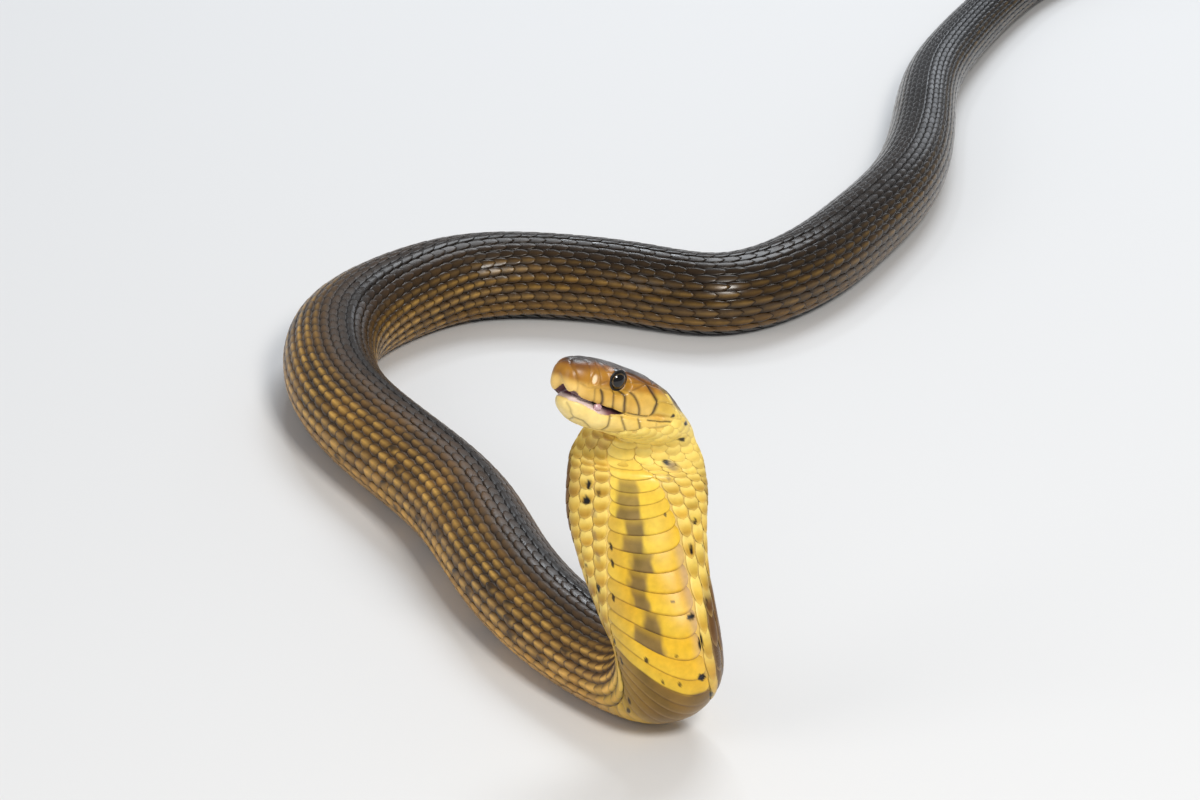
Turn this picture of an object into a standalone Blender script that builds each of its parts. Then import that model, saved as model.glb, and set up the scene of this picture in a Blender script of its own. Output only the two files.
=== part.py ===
"""Brown forest cobra, life size, reared with a narrow hood.  Metres, +Z up.

The animal lies on the floor plane z = 0 and lifts its front end.  The origin is on
the floor, on the belly flat just behind the lifted part.  +X is the right-hand side of
somebody who faces the animal, and +Y leads away from them along the body.
"""
import math

import bmesh
import bpy
import numpy as np
from mathutils import Matrix, Vector

MM = 0.001
GAP = 0.3 * MM              # clearance between neighbouring solids

# ---------------------------------------------------------------- head attitude
HEAD_YAW = math.radians(34.0)     # from a pure side view towards the viewer
HEAD_PITCH = math.radians(27.0)   # snout raised
HEAD_ROLL = math.radians(7.5)     # left side raised
LIP_NOTCH = Vector((-0.0030, -0.0408, 0.1219))  # middle of the upper lip

# ---------------------------------------------------------------- head, in millimetres
# a: distance behind the lip notch
# columns: a, half width, crown height, lip height, height of the widest level
HEAD_LINES = [
    (-2.6, 2.6, 5.0, 0.9, 3.0), (-2.1, 4.2, 6.3, -0.2, 2.8), (-1.2, 5.3, 7.4, -1.2, 2.5), (0.4, 6.3, 8.4, -2.2, 2.1),
    (2.8, 7.3, 9.2, -2.6, 1.8), (6.0, 8.3, 9.8, -2.7, 1.5), (9.5, 9.3, 10.15, -2.95, 1.3), (13.0, 10.2, 10.3, -3.15, 1.1),
    (17.0, 11.1, 10.25, -3.2, 1.0), (22.0, 12.2, 9.95, -3.0, 0.9), (27.0, 13.1, 9.4, -2.3, 0.9), (32.0, 13.7, 8.7, -1.7, 0.8),
    (36.0, 13.8, 7.7, -1.2, 0.5), (40.0, 13.2, 6.0, -1.0, 0.2), (44.0, 12.4, 4.0, -1.0, 0.0),
]
# columns: a, half width, lip height, underside height
JAW_LINES = [
    (0.9, 2.2, -4.3, -6.4), (1.6, 3.6, -3.9, -7.3), (2.7, 4.8, -3.6, -8.2), (5.0, 6.1, -3.4, -9.6), (8.0, 7.3, -3.7, -10.6),
    (11.0, 8.3, -4.5, -11.1), (14.0, 9.2, -4.4, -11.2), (18.0, 10.3, -4.0, -11.1), (22.0, 11.3, -3.6, -11.0),
    (26.0, 12.3, -2.95, -11.0), (31.0, 13.2, -2.2, -11.2), (36.0, 13.6, -1.6, -11.5), (40.0, 13.4, -1.4, -12.0), (44.0, 13.2, -1.4, -12.4),
]
EYE_A, EYE_B, EYE_H = 12.4, 7.3, 6.4   # centre of the eyeball
EYE_R = 3.35
SHEATH_A, SHEATH_B = 10.6, 6.2         # soft sheath of the fang, seen in the open lip
SHEATH_R = 1.25

# ---------------------------------------------------------------- body, in millimetres
# the lifted front part, head end first: centre x, y, z and the way the belly faces
LIFT = [
    ((20.9, -20.9, 96.5), (-0.26, -0.95, -0.15)),    # top of the hood
    ((19.7, -24.6, 86.5), (-0.03, -1.0, 0.0)),
    ((19.9, -29.1, 73.5), (0.03, -1.0, 0.0)),      # widest hood
    ((21.9, -33.9, 60.0), (0.05, -1.0, 0.0)),
    ((25.9, -39.6, 45.0), (-0.04, -1.0, -0.12)),
    ((29.2, -43.1, 34.0), (-0.22, -0.88, -0.38)),
    ((29.1, -39.6, 21.6), (-0.16, -0.45, -0.88)),   # the bend at the foot
    ((18.1, -25.7, 15.6), (-0.08, -0.08, -1.0)),
]
HOOD_CUT = (0.06, 0.32, -0.945)   # way the cut plane at the top of the hood faces
# the trunk on the floor: centre x, y and the sideways roll of the back (degrees)
FLOOR = [
    (-6.3, 7.9, 14), (-22.3, 42.4, 20), (-37.8, 88.9, 22), (-63.8, 137.9, 22), (-81.8, 176.4, 24), (-87.8, 208.4, 26),
    (-83.8, 240.4, 24), (-67.3, 265.4, 16), (-39.3, 284.9, 6), (-6.3, 286.4, 0), (22.7, 279.4, 0), (52.2, 271.9, 0),
    (77.7, 288.4, 0), (102.7, 327.4, 0), (124.2, 377.4, 0), (135.7, 438.9, 0), (142.7, 493.4, 0), (156.7, 538.9, 0),
    (175.2, 582.9, 0), (198.7, 622.9, 0), (235.7, 654.9, 0), (284.7, 670.9, 0), (333.7, 662.9, 0), (372.7, 632.9, 0),
    (393.7, 586.9, 0), (396.7, 535.9, 0), (385.7, 486.9, 0), (370.7, 438.9, 0), (360.7, 389.9, 0), (361.7, 341.9, 0),
    (374.7, 297.9, 0),
]
SEAT = 0.93                 # share of the belly depth left after the body's weight flattens it
# girth along the body: arc length behind the head joint, half width, depth to the back, depth to the belly
GIRTH = [
    (0, 13.8, 11.3, 8.2), (3, 14.9, 10.4, 8.5), (7, 17.3, 9.7, 8.9), (17, 21.5, 9.8, 9.3), (29, 22.4, 10.5, 9.8), (43, 20.8, 11.8, 11.0),
    (56, 19.1, 12.6, 12.2), (68, 18.2, 13.0, 13.4), (79, 17.5, 13.3, 14.6), (90, 17.1, 13.6, 15.3), (103, 16.9, 14.8, 15.5),
    (140, 16.7, 16.2, 15.4), (185, 17.3, 17.1, 16.2), (230, 17.8, 17.6, 16.7), (290, 17.6, 17.4, 16.5),
    (345, 17.1, 16.9, 16.0), (405, 17.0, 16.8, 15.9), (460, 16.7, 16.5, 15.6), (505, 16.1, 15.9, 15.1),
    (555, 15.7, 15.4, 14.6), (605, 15.5, 15.2, 14.4), (655, 14.9, 14.7, 13.9), (705, 14.0, 13.9, 13.1),
    (755, 12.9, 12.8, 12.1), (805, 11.8, 11.7, 11.0), (855, 10.9, 10.8, 10.2), (905, 10.3, 10.2, 9.6),
    (1005, 9.8, 9.7, 9.1), (1180, 8.8, 8.7, 8.2), (1215, 7.8, 7.7, 7.2), (1310, 6.0, 5.9, 5.5), (1400, 3.7, 3.7, 3.4),
    (1460, 1.9, 1.9, 1.8), (1500, 1.0, 1.0, 1.0),
]
# named lengths of the body: name, end (arc length, mm), rings, points round a ring
LENGTHS = [
    ("neck", 14, 6, 24), ("hood", 60, 11, 24), ("forebody", 108, 12, 24),
    ("trunk_1", 225, 11, 20), ("trunk_2", 335, 11, 20), ("trunk_3", 445, 12, 20), ("trunk_4", 560, 11, 20),
    ("trunk_5", 690, 12, 20), ("trunk_6", 820, 12, 20), ("trunk_7", 950, 12, 20), ("trunk_8", 1075, 12, 18),
    ("trunk_9", 1195, 12, 18), ("tail_1", 1340, 13, 14), ("tail_2", None, 14, 12),
]
JOINT_A, JOINT_H = 36.0, -3.4   # head joint, in the head's frame
JOINT_TURN = 0.62               # share of the nape's turn that the joint plane has made already
CHORD = 14.0                    # the cut planes follow the chord over this far either way, in millimetres


# ---------------------------------------------------------------- curves
def natural_spline(t, p):
    """Natural cubic spline through the rows of p at the parameters t."""
    n, h = len(t), np.diff(t)
    m, b = np.zeros((n, n)), np.zeros((n, p.shape[1]))
    m[0, 0] = m[-1, -1] = 1.0
    for i in range(1, n - 1):
        m[i, i - 1], m[i, i], m[i, i + 1] = h[i - 1], 2 * (h[i - 1] + h[i]), h[i]
        b[i] = 6 * ((p[i + 1] - p[i]) / h[i] - (p[i] - p[i - 1]) / h[i - 1])
    k = np.linalg.solve(m, b)

    def at(x):
        i = np.clip(np.searchsorted(t, x, side="right") - 1, 0, n - 2)
        l, r, w = (t[i + 1] - x)[:, None], (x - t[i])[:, None], h[i][:, None]
        return (k[i] * l ** 3 + k[i + 1] * r ** 3) / (6 * w) + (p[i] / w - k[i] * w / 6) * l + (p[i + 1] / w - k[i + 1] * w / 6) * r
    return at


def table(rows):
    """Monotone cubic through the rows (x, y1, y2, ...): no overshoot between them."""
    x, y = np.array([r[0] for r in rows], float), np.array([r[1:] for r in rows], float)
    h = np.diff(x)[:, None]
    d, m = np.diff(y, axis=0) / h, np.zeros_like(y)
    m[0], m[-1] = d[0], d[-1]
    for i in range(1, len(x) - 1):
        for c in range(y.shape[1]):
            if d[i - 1, c] * d[i, c] > 0:
                w1, w2 = 2 * h[i, 0] + h[i - 1, 0], h[i, 0] + 2 * h[i - 1, 0]
                m[i, c] = (w1 + w2) / (w1 / d[i - 1, c] + w2 / d[i, c])

    def at(s):
        s = np.clip(np.atleast_1d(np.asarray(s, float)), x[0], x[-1])
        i = np.clip(np.searchsorted(x, s, side="right") - 1, 0, len(x) - 2)
        t = ((s - x[i]) / h[i, 0])[:, None]
        return ((2 * t ** 3 - 3 * t ** 2 + 1) * y[i] + (t ** 3 - 2 * t ** 2 + t) * h[i] * m[i]
                + (3 * t ** 2 - 2 * t ** 3) * y[i + 1] + (t ** 3 - t ** 2) * h[i] * m[i + 1])
    return at


def unit(v):
    return v / np.linalg.norm(v, axis=-1, keepdims=True)


# ---------------------------------------------------------------- head frame
FORE = np.array([-math.cos(HEAD_YAW) * math.cos(HEAD_PITCH), -math.sin(HEAD_YAW) * math.cos(HEAD_PITCH), math.sin(HEAD_PITCH)])
LEVEL = np.array([math.sin(HEAD_YAW), -math.cos(HEAD_YAW), 0.0])
LEFT = LEVEL * math.cos(HEAD_ROLL) + np.cross(FORE, LEVEL) * math.sin(HEAD_ROLL)
CROWN = np.cross(FORE, LEFT)


JOINT_CUT = unit(-FORE * (1 - JOINT_TURN) + np.array(HOOD_CUT) * JOINT_TURN)


def head_point(a, b, h):
    """World place of a point a behind the lip notch, b to the left, h up (millimetres)."""
    return np.array(LIP_NOTCH) + (-FORE * a + LEFT * b + CROWN * h) * MM


def leaned(a, section):
    """Point of a head cut that leans over towards the joint plane on the way back to it.

    section gives (b, h) of the point in the upright cut at any distance a.
    """
    w = min(max((a - 14.0) / (JOINT_A - 14.0), 0.0), 1.0)
    w *= w * (3 - 2 * w)
    there = a
    for _ in range(6):
        b, h = section(there)
        there = a - w * (b * LEFT.dot(JOINT_CUT) + (h - JOINT_H) * CROWN.dot(JOINT_CUT)) / -FORE.dot(JOINT_CUT)
    return head_point(there, b, h)


# ---------------------------------------------------------------- body centreline
class Body:
    def __init__(self):
        girth = table(GIRTH)
        head = [(head_point(20, 0, -2.6), -CROWN), (head_point(29, 0, -3.0), -CROWN), (head_point(JOINT_A, 0, JOINT_H), -CROWN)]
        knots = [p for p, _ in head] + [np.array(p) * MM for p, _ in LIFT]
        belly = [v for _, v in head] + [np.array(v) for _, v in LIFT]
        lifted = len(knots)
        plan = [(k[0], k[1]) for k in (knots[-2:])] + [(x * MM, y * MM) for x, y, _ in FLOOR]
        length = 100.0
        for i, (x, y, roll) in enumerate(FLOOR):
            here, last = np.array((x, y)) * MM, np.array(plan[i + 1])
            length += np.linalg.norm(here - last) / MM
            seat = girth(length)[0, 2] * SEAT * MM
            after = np.array(FLOOR[min(i + 1, len(FLOOR) - 1)][:2]) * MM
            way = unit(after - last)
            side = np.array([-way[1], way[0], 0.0])      # to the right of a body that heads back to the foot
            knots.append(np.array([here[0], here[1], seat]))
            belly.append(np.array([0, 0, -math.cos(math.radians(roll))]) + side * math.sin(math.radians(roll)))
        knots, belly = np.array(knots), unit(np.array(belly))
        t = np.concatenate([[0], np.cumsum(np.linalg.norm(np.diff(knots, axis=0), axis=1))])
        fine = np.linspace(0, t[-1], 6001)
        path = natural_spline(t, knots)(fine)
        run = np.concatenate([[0], np.cumsum(np.linalg.norm(np.diff(path, axis=0), axis=1))])
        joint = np.interp(t[2], fine, run)
        self.s = (run - joint) / MM                      # arc length behind the head joint
        self.path = path
        at = np.interp(t, fine, self.s)
        self.length = self.s[-1]
        at_run = lambda x: np.column_stack([np.interp(x, run, path[:, k]) for k in range(3)])
        along = unit(at_run(run + CHORD * MM) - at_run(run - CHORD * MM))
        # the cut planes turn more slowly than the centreline at the nape, so they don't cross
        top, straight = at[3], at[4] + 4.0
        ease = lambda x: (x * x * (3 - 2 * x))[:, None]
        w, v = ease(np.clip(self.s / top, 0, 1)), ease(np.clip((self.s - top) / (straight - top), 0, 1))
        cut = unit(JOINT_CUT * (1 - w) + np.array(HOOD_CUT) * w)
        self.normal = unit(np.where(self.s[:, None] < top, cut, unit(np.array(HOOD_CUT)) * (1 - v) + along * v))
        belly = unit(table([(a,) + tuple(v) for a, v in zip(at, belly)])(self.s))
        self.belly = unit(belly - self.normal * np.sum(belly * self.normal, axis=1, keepdims=True))
        self.side = np.cross(self.belly, self.normal)    # the animal's left
        self.girth = girth
        self.floor_from = np.interp(t[lifted - 2], fine, self.s)

    def frame(self, s):
        pick = lambda v: np.array([np.interp(s, self.s, v[:, k]) for k in range(3)])
        return pick(self.path), unit(pick(self.normal)), unit(pick(self.belly)), unit(pick(self.side))

    def ring(self, s, points):
        centre, _, belly, side = self.frame(s)
        half, back, front = self.girth(s)[0] * MM
        out = []
        for k in range(points):
            q = 2 * math.pi * (k + 0.5) / points
            c, n = math.cos(q), math.sin(q)
            p = centre + side * half * n - belly * (back if c > 0 else front) * c
            if s > self.floor_from - 30:
                p[2] = max(p[2], 0.0)
            out.append(p)
        return out


# ---------------------------------------------------------------- solids
def material(name, colour, roughness):
    m = bpy.data.materials.new(name)
    m.use_nodes = True
    b = m.node_tree.nodes["Principled BSDF"]
    b.inputs["Base Color"].default_value = (*colour, 1.0)
    b.inputs["Roughness"].default_value = roughness
    b.inputs["Metallic"].default_value = 0.0
    return m


def finish(name, bm, mat, smooth=40.0):
    bmesh.ops.triangulate(bm, faces=[f for f in bm.faces if len(f.verts) > 3])
    bmesh.ops.recalc_face_normals(bm, faces=bm.faces)
    mesh = bpy.data.meshes.new(name)
    bm.to_mesh(mesh)
    bm.free()
    mesh.materials.append(mat)
    mesh.shade_smooth()
    mesh.set_sharp_from_angle(angle=math.radians(smooth))
    obj = bpy.data.objects.new(name, mesh)
    COLLECTION.objects.link(obj)
    return obj


def loft(name, rings, mat, start=None, end=None):
    """Closed skin over a row of rings; the ends are closed by a fan round their middle."""
    bm = bmesh.new()
    rows = [[bm.verts.new(Vector(p)) for p in ring] for ring in rings]
    n = len(rows[0])
    for a, b in zip(rows, rows[1:]):
        for k in range(n):
            bm.faces.new((a[k], a[(k + 1) % n], b[(k + 1) % n], b[k]))
    for row, tip, flip in ((rows[0], start, True), (rows[-1], end, False)):
        middle = sum((v.co for v in row), Vector()) / n if tip is None else Vector(tip)
        c = bm.verts.new(middle)
        for k in range(n):
            face = (row[k], row[(k + 1) % n], c)
            bm.faces.new(face[::-1] if flip else face)
    return finish(name, bm, mat)


def skull_ring(a, points):
    """Cut through the upper head: flat crown, rounded rim over the eye, full cheek, flat palate."""
    def section(a, c, n):
        half, crown, lip, wide = HEAD(a)[0]
        if c > 0:    # crown side
            return half * math.copysign(abs(n) ** 0.66, n) * (1 - 0.22 * c ** 1.2), wide + (crown - wide) * c ** 0.50
        # down to the lip and across the palate
        return half * math.copysign(abs(n) ** 0.55, n) * (1 - 0.05 * -c), wide - (wide - lip) * (-c) ** 0.75
    turn = [2 * math.pi * (k + 0.5) / points for k in range(points)]
    return [leaned(a, lambda x: section(x, math.cos(q), math.sin(q))) for q in turn]


def jaw_ring(a, points):
    """Cut through the lower jaw: flat top inside the lips, rounded underside."""
    def section(a, c, n):
        half, lip, under = JAW(a)[0]
        mid = lip - 0.25 * (lip - under)
        if c > 0:
            return half * math.copysign(abs(n) ** 0.55, n), mid + (lip - mid) * c ** 0.7
        return half * math.copysign(abs(n) ** 0.9, n), mid - (mid - under) * (-c) ** 0.9
    turn = [2 * math.pi * (k + 0.5) / points for k in range(points)]
    return [leaned(a, lambda x: section(x, math.cos(q), math.sin(q))) for q in turn]


def eye_ball(name, sign, radius, mat, segments=14, rings=8):
    bm = bmesh.new()
    bmesh.ops.create_uvsphere(bm, u_segments=segments, v_segments=rings, radius=radius * MM)
    turn = Matrix((tuple(LEFT * sign), tuple(-FORE), tuple(CROWN))).transposed().to_4x4()
    turn = Matrix.Translation(Vector(head_point(EYE_A, EYE_B * sign, EYE_H))) @ turn @ Matrix.Rotation(math.radians(90), 4, "Y")
    bmesh.ops.transform(bm, matrix=turn, verts=bm.verts)
    return finish(name, bm, mat, 180)


# ---------------------------------------------------------------- the model
for old in list(bpy.data.objects):
    bpy.data.objects.remove(old)
COLLECTION = bpy.data.collections.new("forest_cobra")
TOOLS = bpy.data.collections.new("cutters")
bpy.context.scene.collection.children.link(COLLECTION)
bpy.context.scene.collection.children.link(TOOLS)

GOLD = material("golden_scales", (0.72, 0.45, 0.07), 0.38)
TAN = material("tan_brown_scales", (0.20, 0.13, 0.05), 0.4)
DARK = material("black_brown_scales", (0.015, 0.013, 0.012), 0.3)
EYE = material("eye_black", (0.01, 0.009, 0.008), 0.08)
PINK = material("mouth_lining", (0.75, 0.45, 0.42), 0.35)

HEAD, JAW = table(HEAD_LINES), table(JAW_LINES)
BODY = Body()

# upper head: rings from the snout to the head joint, sockets cut for the eyes
stations = [-2.6, -2.1, -1.2, 0.4, 2.8, 5.6, 8.4, 11.0, 13.6, 16.5, 20.0, 24.0, 28.5, 32.5, JOINT_A - 0.15]
tip = head_point(-2.9, 0, 3.1)
head = loft("head", [skull_ring(a, 26) for a in stations], GOLD, start=tip)
for sign, side in ((1, "left"), (-1, "right")):
    socket = eye_ball("socket_" + side, sign, EYE_R + 0.3, GOLD, 14, 8)
    COLLECTION.objects.unlink(socket)
    TOOLS.objects.link(socket)
    socket.hide_render = True
    socket.display_type = "WIRE"
    cut = head.modifiers.new("socket_" + side, "BOOLEAN")
    cut.operation, cut.solver, cut.object = "DIFFERENCE", "EXACT", socket
    eye_ball("eye_" + side, sign, EYE_R, EYE)

# lower jaw, a little open in front
stations = [0.9, 1.6, 2.7, 5.0, 8.0, 11.0, 14.0, 18.0, 22.0, 26.0, 31.0, JOINT_A - 0.15]
loft("lower_jaw", [jaw_ring(a, 20) for a in stations], GOLD, start=head_point(0.6, 0, -5.4))


def lobe(name, a, b, top, low, radius, mat):
    """Small rounded lobe between two heights, longer fore and aft than across."""
    rings = []
    for k in range(5):
        f = k / 4
        r = radius * (0.80 + 0.25 * math.sin(math.pi * min(1.0, f * 1.15)) - 0.45 * f ** 3)
        rings.append([head_point(a + r * 1.5 * math.cos(t), b + r * 0.8 * math.sin(t), top + (low - top) * f)
                      for t in (2 * math.pi * (j + 0.5) / 10 for j in range(10))])
    return loft(name, rings, mat)


for sign, side in ((1, "left"), (-1, "right")):
    lobe("fang_sheath_" + side, SHEATH_A, SHEATH_B * sign, HEAD(SHEATH_A)[0, 2] - 0.3, JAW(SHEATH_A)[0, 1] + 0.35, SHEATH_R, PINK)

# body
start = 0.45
for name, end, count, points in LENGTHS:
    stop = BODY.length if end is None else end
    last = stop - (0.0 if end is None else 0.15)
    stations = np.linspace(start, last, count)
    mat = GOLD if name in ("neck", "hood", "forebody") else DARK if name >= "trunk_6" or name.startswith("tail") else TAN
    if end is None:
        tip_at = BODY.frame(BODY.length)[0]
        stations = np.linspace(start, BODY.length - 2.5, count)
        loft(name, [BODY.ring(s, points) for s in stations], DARK, end=tip_at)
    else:
        loft(name, [BODY.ring(s, points) for s in stations], mat)
    start = stop + 0.15
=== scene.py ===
import math
import bpy
import bmesh
import numpy as np
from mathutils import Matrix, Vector
from mathutils.bvhtree import BVHTree
from mathutils.kdtree import KDTree


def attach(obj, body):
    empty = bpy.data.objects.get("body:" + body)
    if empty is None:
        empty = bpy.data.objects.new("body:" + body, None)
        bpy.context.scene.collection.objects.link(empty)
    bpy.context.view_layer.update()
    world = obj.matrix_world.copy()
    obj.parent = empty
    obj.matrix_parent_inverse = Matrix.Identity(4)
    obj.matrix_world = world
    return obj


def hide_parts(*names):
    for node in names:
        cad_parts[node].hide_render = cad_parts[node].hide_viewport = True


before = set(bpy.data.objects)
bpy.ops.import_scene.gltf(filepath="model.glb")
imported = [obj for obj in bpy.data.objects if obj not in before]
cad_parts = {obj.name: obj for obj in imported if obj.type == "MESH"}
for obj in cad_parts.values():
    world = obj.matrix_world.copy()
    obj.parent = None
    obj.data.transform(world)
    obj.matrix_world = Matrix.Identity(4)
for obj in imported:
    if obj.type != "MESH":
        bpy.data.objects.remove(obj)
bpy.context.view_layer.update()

MM = 0.001

# ---------------------------------------------------------------- the animal's lines, as in the solids
HEAD_YAW, HEAD_PITCH, HEAD_ROLL = math.radians(34.0), math.radians(27.0), math.radians(7.5)
LIP_NOTCH = np.array((-0.0030, -0.0408, 0.1219))
HEAD_LINES = [
    (-2.6, 2.6, 5.0, 0.9, 3.0), (-2.1, 4.2, 6.3, -0.2, 2.8), (-1.2, 5.3, 7.4, -1.2, 2.5), (0.4, 6.3, 8.4, -2.2, 2.1),
    (2.8, 7.3, 9.2, -2.6, 1.8), (6.0, 8.3, 9.8, -2.7, 1.5), (9.5, 9.3, 10.15, -2.95, 1.3), (13.0, 10.2, 10.3, -3.15, 1.1),
    (17.0, 11.1, 10.25, -3.2, 1.0), (22.0, 12.2, 9.95, -3.0, 0.9), (27.0, 13.1, 9.4, -2.3, 0.9), (32.0, 13.7, 8.7, -1.7, 0.8),
    (36.0, 13.8, 7.7, -1.2, 0.5), (40.0, 13.2, 6.0, -1.0, 0.2), (44.0, 12.4, 4.0, -1.0, 0.0),
]
JAW_LINES = [
    (0.9, 2.2, -4.3, -6.4), (1.6, 3.6, -3.9, -7.3), (2.7, 4.8, -3.6, -8.2), (5.0, 6.1, -3.4, -9.6), (8.0, 7.3, -3.7, -10.6),
    (11.0, 8.3, -4.5, -11.1), (14.0, 9.2, -4.4, -11.2), (18.0, 10.3, -4.0, -11.1), (22.0, 11.3, -3.6, -11.0),
    (26.0, 12.3, -2.95, -11.0), (31.0, 13.2, -2.2, -11.2), (36.0, 13.6, -1.6, -11.5), (40.0, 13.4, -1.4, -12.0),
    (44.0, 13.2, -1.4, -12.4),
]
EYE_A, EYE_B, EYE_H, EYE_R = 12.4, 7.3, 6.4, 3.35
LIFT = [
    ((20.9, -20.9, 96.5), (-0.26, -0.95, -0.15)), ((19.7, -24.6, 86.5), (-0.03, -1.0, 0.0)), ((19.9, -29.1, 73.5), (0.03, -1.0, 0.0)),
    ((21.9, -33.9, 60.0), (0.05, -1.0, 0.0)), ((25.9, -39.6, 45.0), (-0.04, -1.0, -0.12)), ((29.2, -43.1, 34.0), (-0.22, -0.88, -0.38)),
    ((29.1, -39.6, 21.6), (-0.16, -0.45, -0.88)), ((18.1, -25.7, 15.6), (-0.08, -0.08, -1.0)),
]
HOOD_CUT = np.array((0.06, 0.32, -0.945))
FLOOR = [
    (-6.3, 7.9, 14), (-22.3, 42.4, 20), (-37.8, 88.9, 22), (-63.8, 137.9, 22), (-81.8, 176.4, 24), (-87.8, 208.4, 26),
    (-83.8, 240.4, 24), (-67.3, 265.4, 16), (-39.3, 284.9, 6), (-6.3, 286.4, 0), (22.7, 279.4, 0), (52.2, 271.9, 0),
    (77.7, 288.4, 0), (102.7, 327.4, 0), (124.2, 377.4, 0), (135.7, 438.9, 0), (142.7, 493.4, 0), (156.7, 538.9, 0),
    (175.2, 582.9, 0), (198.7, 622.9, 0), (235.7, 654.9, 0), (284.7, 670.9, 0), (333.7, 662.9, 0), (372.7, 632.9, 0),
    (393.7, 586.9, 0), (396.7, 535.9, 0), (385.7, 486.9, 0), (370.7, 438.9, 0), (360.7, 389.9, 0), (361.7, 341.9, 0),
    (374.7, 297.9, 0),
]
SEAT = 0.93
GIRTH = [   # arc length behind the head joint, half width, depth to the back, depth to the belly; ahead of 0 it follows the head
    (-17, 11.8, 13.0, 8.5), (-8, 13.4, 12.5, 8.1),
    (0, 13.8, 11.3, 8.2), (3, 14.9, 10.4, 8.5), (7, 17.3, 9.7, 8.9), (17, 21.5, 9.8, 9.3), (29, 22.4, 10.5, 9.8), (43, 20.8, 11.8, 11.0),
    (56, 19.1, 12.6, 12.2), (68, 18.2, 13.0, 13.4), (79, 17.5, 13.3, 14.6), (90, 17.1, 13.6, 15.3), (103, 16.9, 14.8, 15.5),
    (140, 16.7, 16.2, 15.4), (185, 17.3, 17.1, 16.2), (230, 17.8, 17.6, 16.7), (290, 17.6, 17.4, 16.5),
    (345, 17.1, 16.9, 16.0), (405, 17.0, 16.8, 15.9), (460, 16.7, 16.5, 15.6), (505, 16.1, 15.9, 15.1),
    (555, 15.7, 15.4, 14.6), (605, 15.5, 15.2, 14.4), (655, 14.9, 14.7, 13.9), (705, 14.0, 13.9, 13.1),
    (755, 12.9, 12.8, 12.1), (805, 11.8, 11.7, 11.0), (855, 10.9, 10.8, 10.2), (905, 10.3, 10.2, 9.6),
    (1005, 9.8, 9.7, 9.1), (1180, 8.8, 8.7, 8.2), (1215, 7.8, 7.7, 7.2), (1310, 6.0, 5.9, 5.5), (1400, 3.7, 3.7, 3.4),
    (1460, 1.9, 1.9, 1.8), (1500, 1.0, 1.0, 1.0),
]
JOINT_A, JOINT_H, JOINT_TURN, CHORD = 36.0, -3.4, 0.62, 14.0
VENT = 1195.0               # arc length of the vent
COAT = 0.50                 # depth of the scales over the skin, in millimetres


def natural_spline(t, p):
    n, h = len(t), np.diff(t)
    m, b = np.zeros((n, n)), np.zeros((n, p.shape[1]))
    m[0, 0] = m[-1, -1] = 1.0
    for i in range(1, n - 1):
        m[i, i - 1], m[i, i], m[i, i + 1] = h[i - 1], 2 * (h[i - 1] + h[i]), h[i]
        b[i] = 6 * ((p[i + 1] - p[i]) / h[i] - (p[i] - p[i - 1]) / h[i - 1])
    k = np.linalg.solve(m, b)

    def at(x):
        i = np.clip(np.searchsorted(t, x, side="right") - 1, 0, n - 2)
        l, r, w = (t[i + 1] - x)[:, None], (x - t[i])[:, None], h[i][:, None]
        return (k[i] * l ** 3 + k[i + 1] * r ** 3) / (6 * w) + (p[i] / w - k[i] * w / 6) * l + (p[i + 1] / w - k[i + 1] * w / 6) * r
    return at


def table(rows):
    """Monotone cubic through the rows (x, y1, y2, ...): no overshoot between them."""
    x, y = np.array([r[0] for r in rows], float), np.array([r[1:] for r in rows], float)
    h = np.diff(x)[:, None]
    d, m = np.diff(y, axis=0) / h, np.zeros_like(y)
    m[0], m[-1] = d[0], d[-1]
    for i in range(1, len(x) - 1):
        for c in range(y.shape[1]):
            if d[i - 1, c] * d[i, c] > 0:
                w1, w2 = 2 * h[i, 0] + h[i - 1, 0], h[i, 0] + 2 * h[i - 1, 0]
                m[i, c] = (w1 + w2) / (w1 / d[i - 1, c] + w2 / d[i, c])

    def at(s):
        s = np.clip(np.atleast_1d(np.asarray(s, float)), x[0], x[-1])
        i = np.clip(np.searchsorted(x, s, side="right") - 1, 0, len(x) - 2)
        t = ((s - x[i]) / h[i, 0])[:, None]
        return ((2 * t ** 3 - 3 * t ** 2 + 1) * y[i] + (t ** 3 - 2 * t ** 2 + t) * h[i] * m[i]
                + (3 * t ** 2 - 2 * t ** 3) * y[i + 1] + (t ** 3 - t ** 2) * h[i] * m[i + 1])
    return at


def unit(v):
    return v / np.maximum(np.linalg.norm(v, axis=-1, keepdims=True), 1e-12)


def ease(x, lo=0.0, hi=1.0):
    x = np.clip((np.asarray(x, float) - lo) / (hi - lo), 0, 1)
    return x * x * (3 - 2 * x)


FORE = np.array([-math.cos(HEAD_YAW) * math.cos(HEAD_PITCH), -math.sin(HEAD_YAW) * math.cos(HEAD_PITCH), math.sin(HEAD_PITCH)])
LEVEL = np.array([math.sin(HEAD_YAW), -math.cos(HEAD_YAW), 0.0])
LEFT = LEVEL * math.cos(HEAD_ROLL) + np.cross(FORE, LEVEL) * math.sin(HEAD_ROLL)
CROWN = np.cross(FORE, LEFT)
JOINT_CUT = unit(-FORE * (1 - JOINT_TURN) + HOOD_CUT * JOINT_TURN)
LEAN_B, LEAN_H = LEFT.dot(JOINT_CUT) / -FORE.dot(JOINT_CUT), CROWN.dot(JOINT_CUT) / -FORE.dot(JOINT_CUT)


def head_point(a, b, h):
    """World place (metres) of points a behind the lip notch, b to the left, h up (millimetres)."""
    a, b, h = (np.asarray(v, float)[..., None] for v in (a, b, h))
    return LIP_NOTCH + (-FORE * a + LEFT * b + CROWN * h) * MM


def head_coords(p):
    q = (p - LIP_NOTCH) / MM
    return -q @ FORE, q @ LEFT, q @ CROWN


def lean(a):
    return ease(a, 14.0, JOINT_A)


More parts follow.
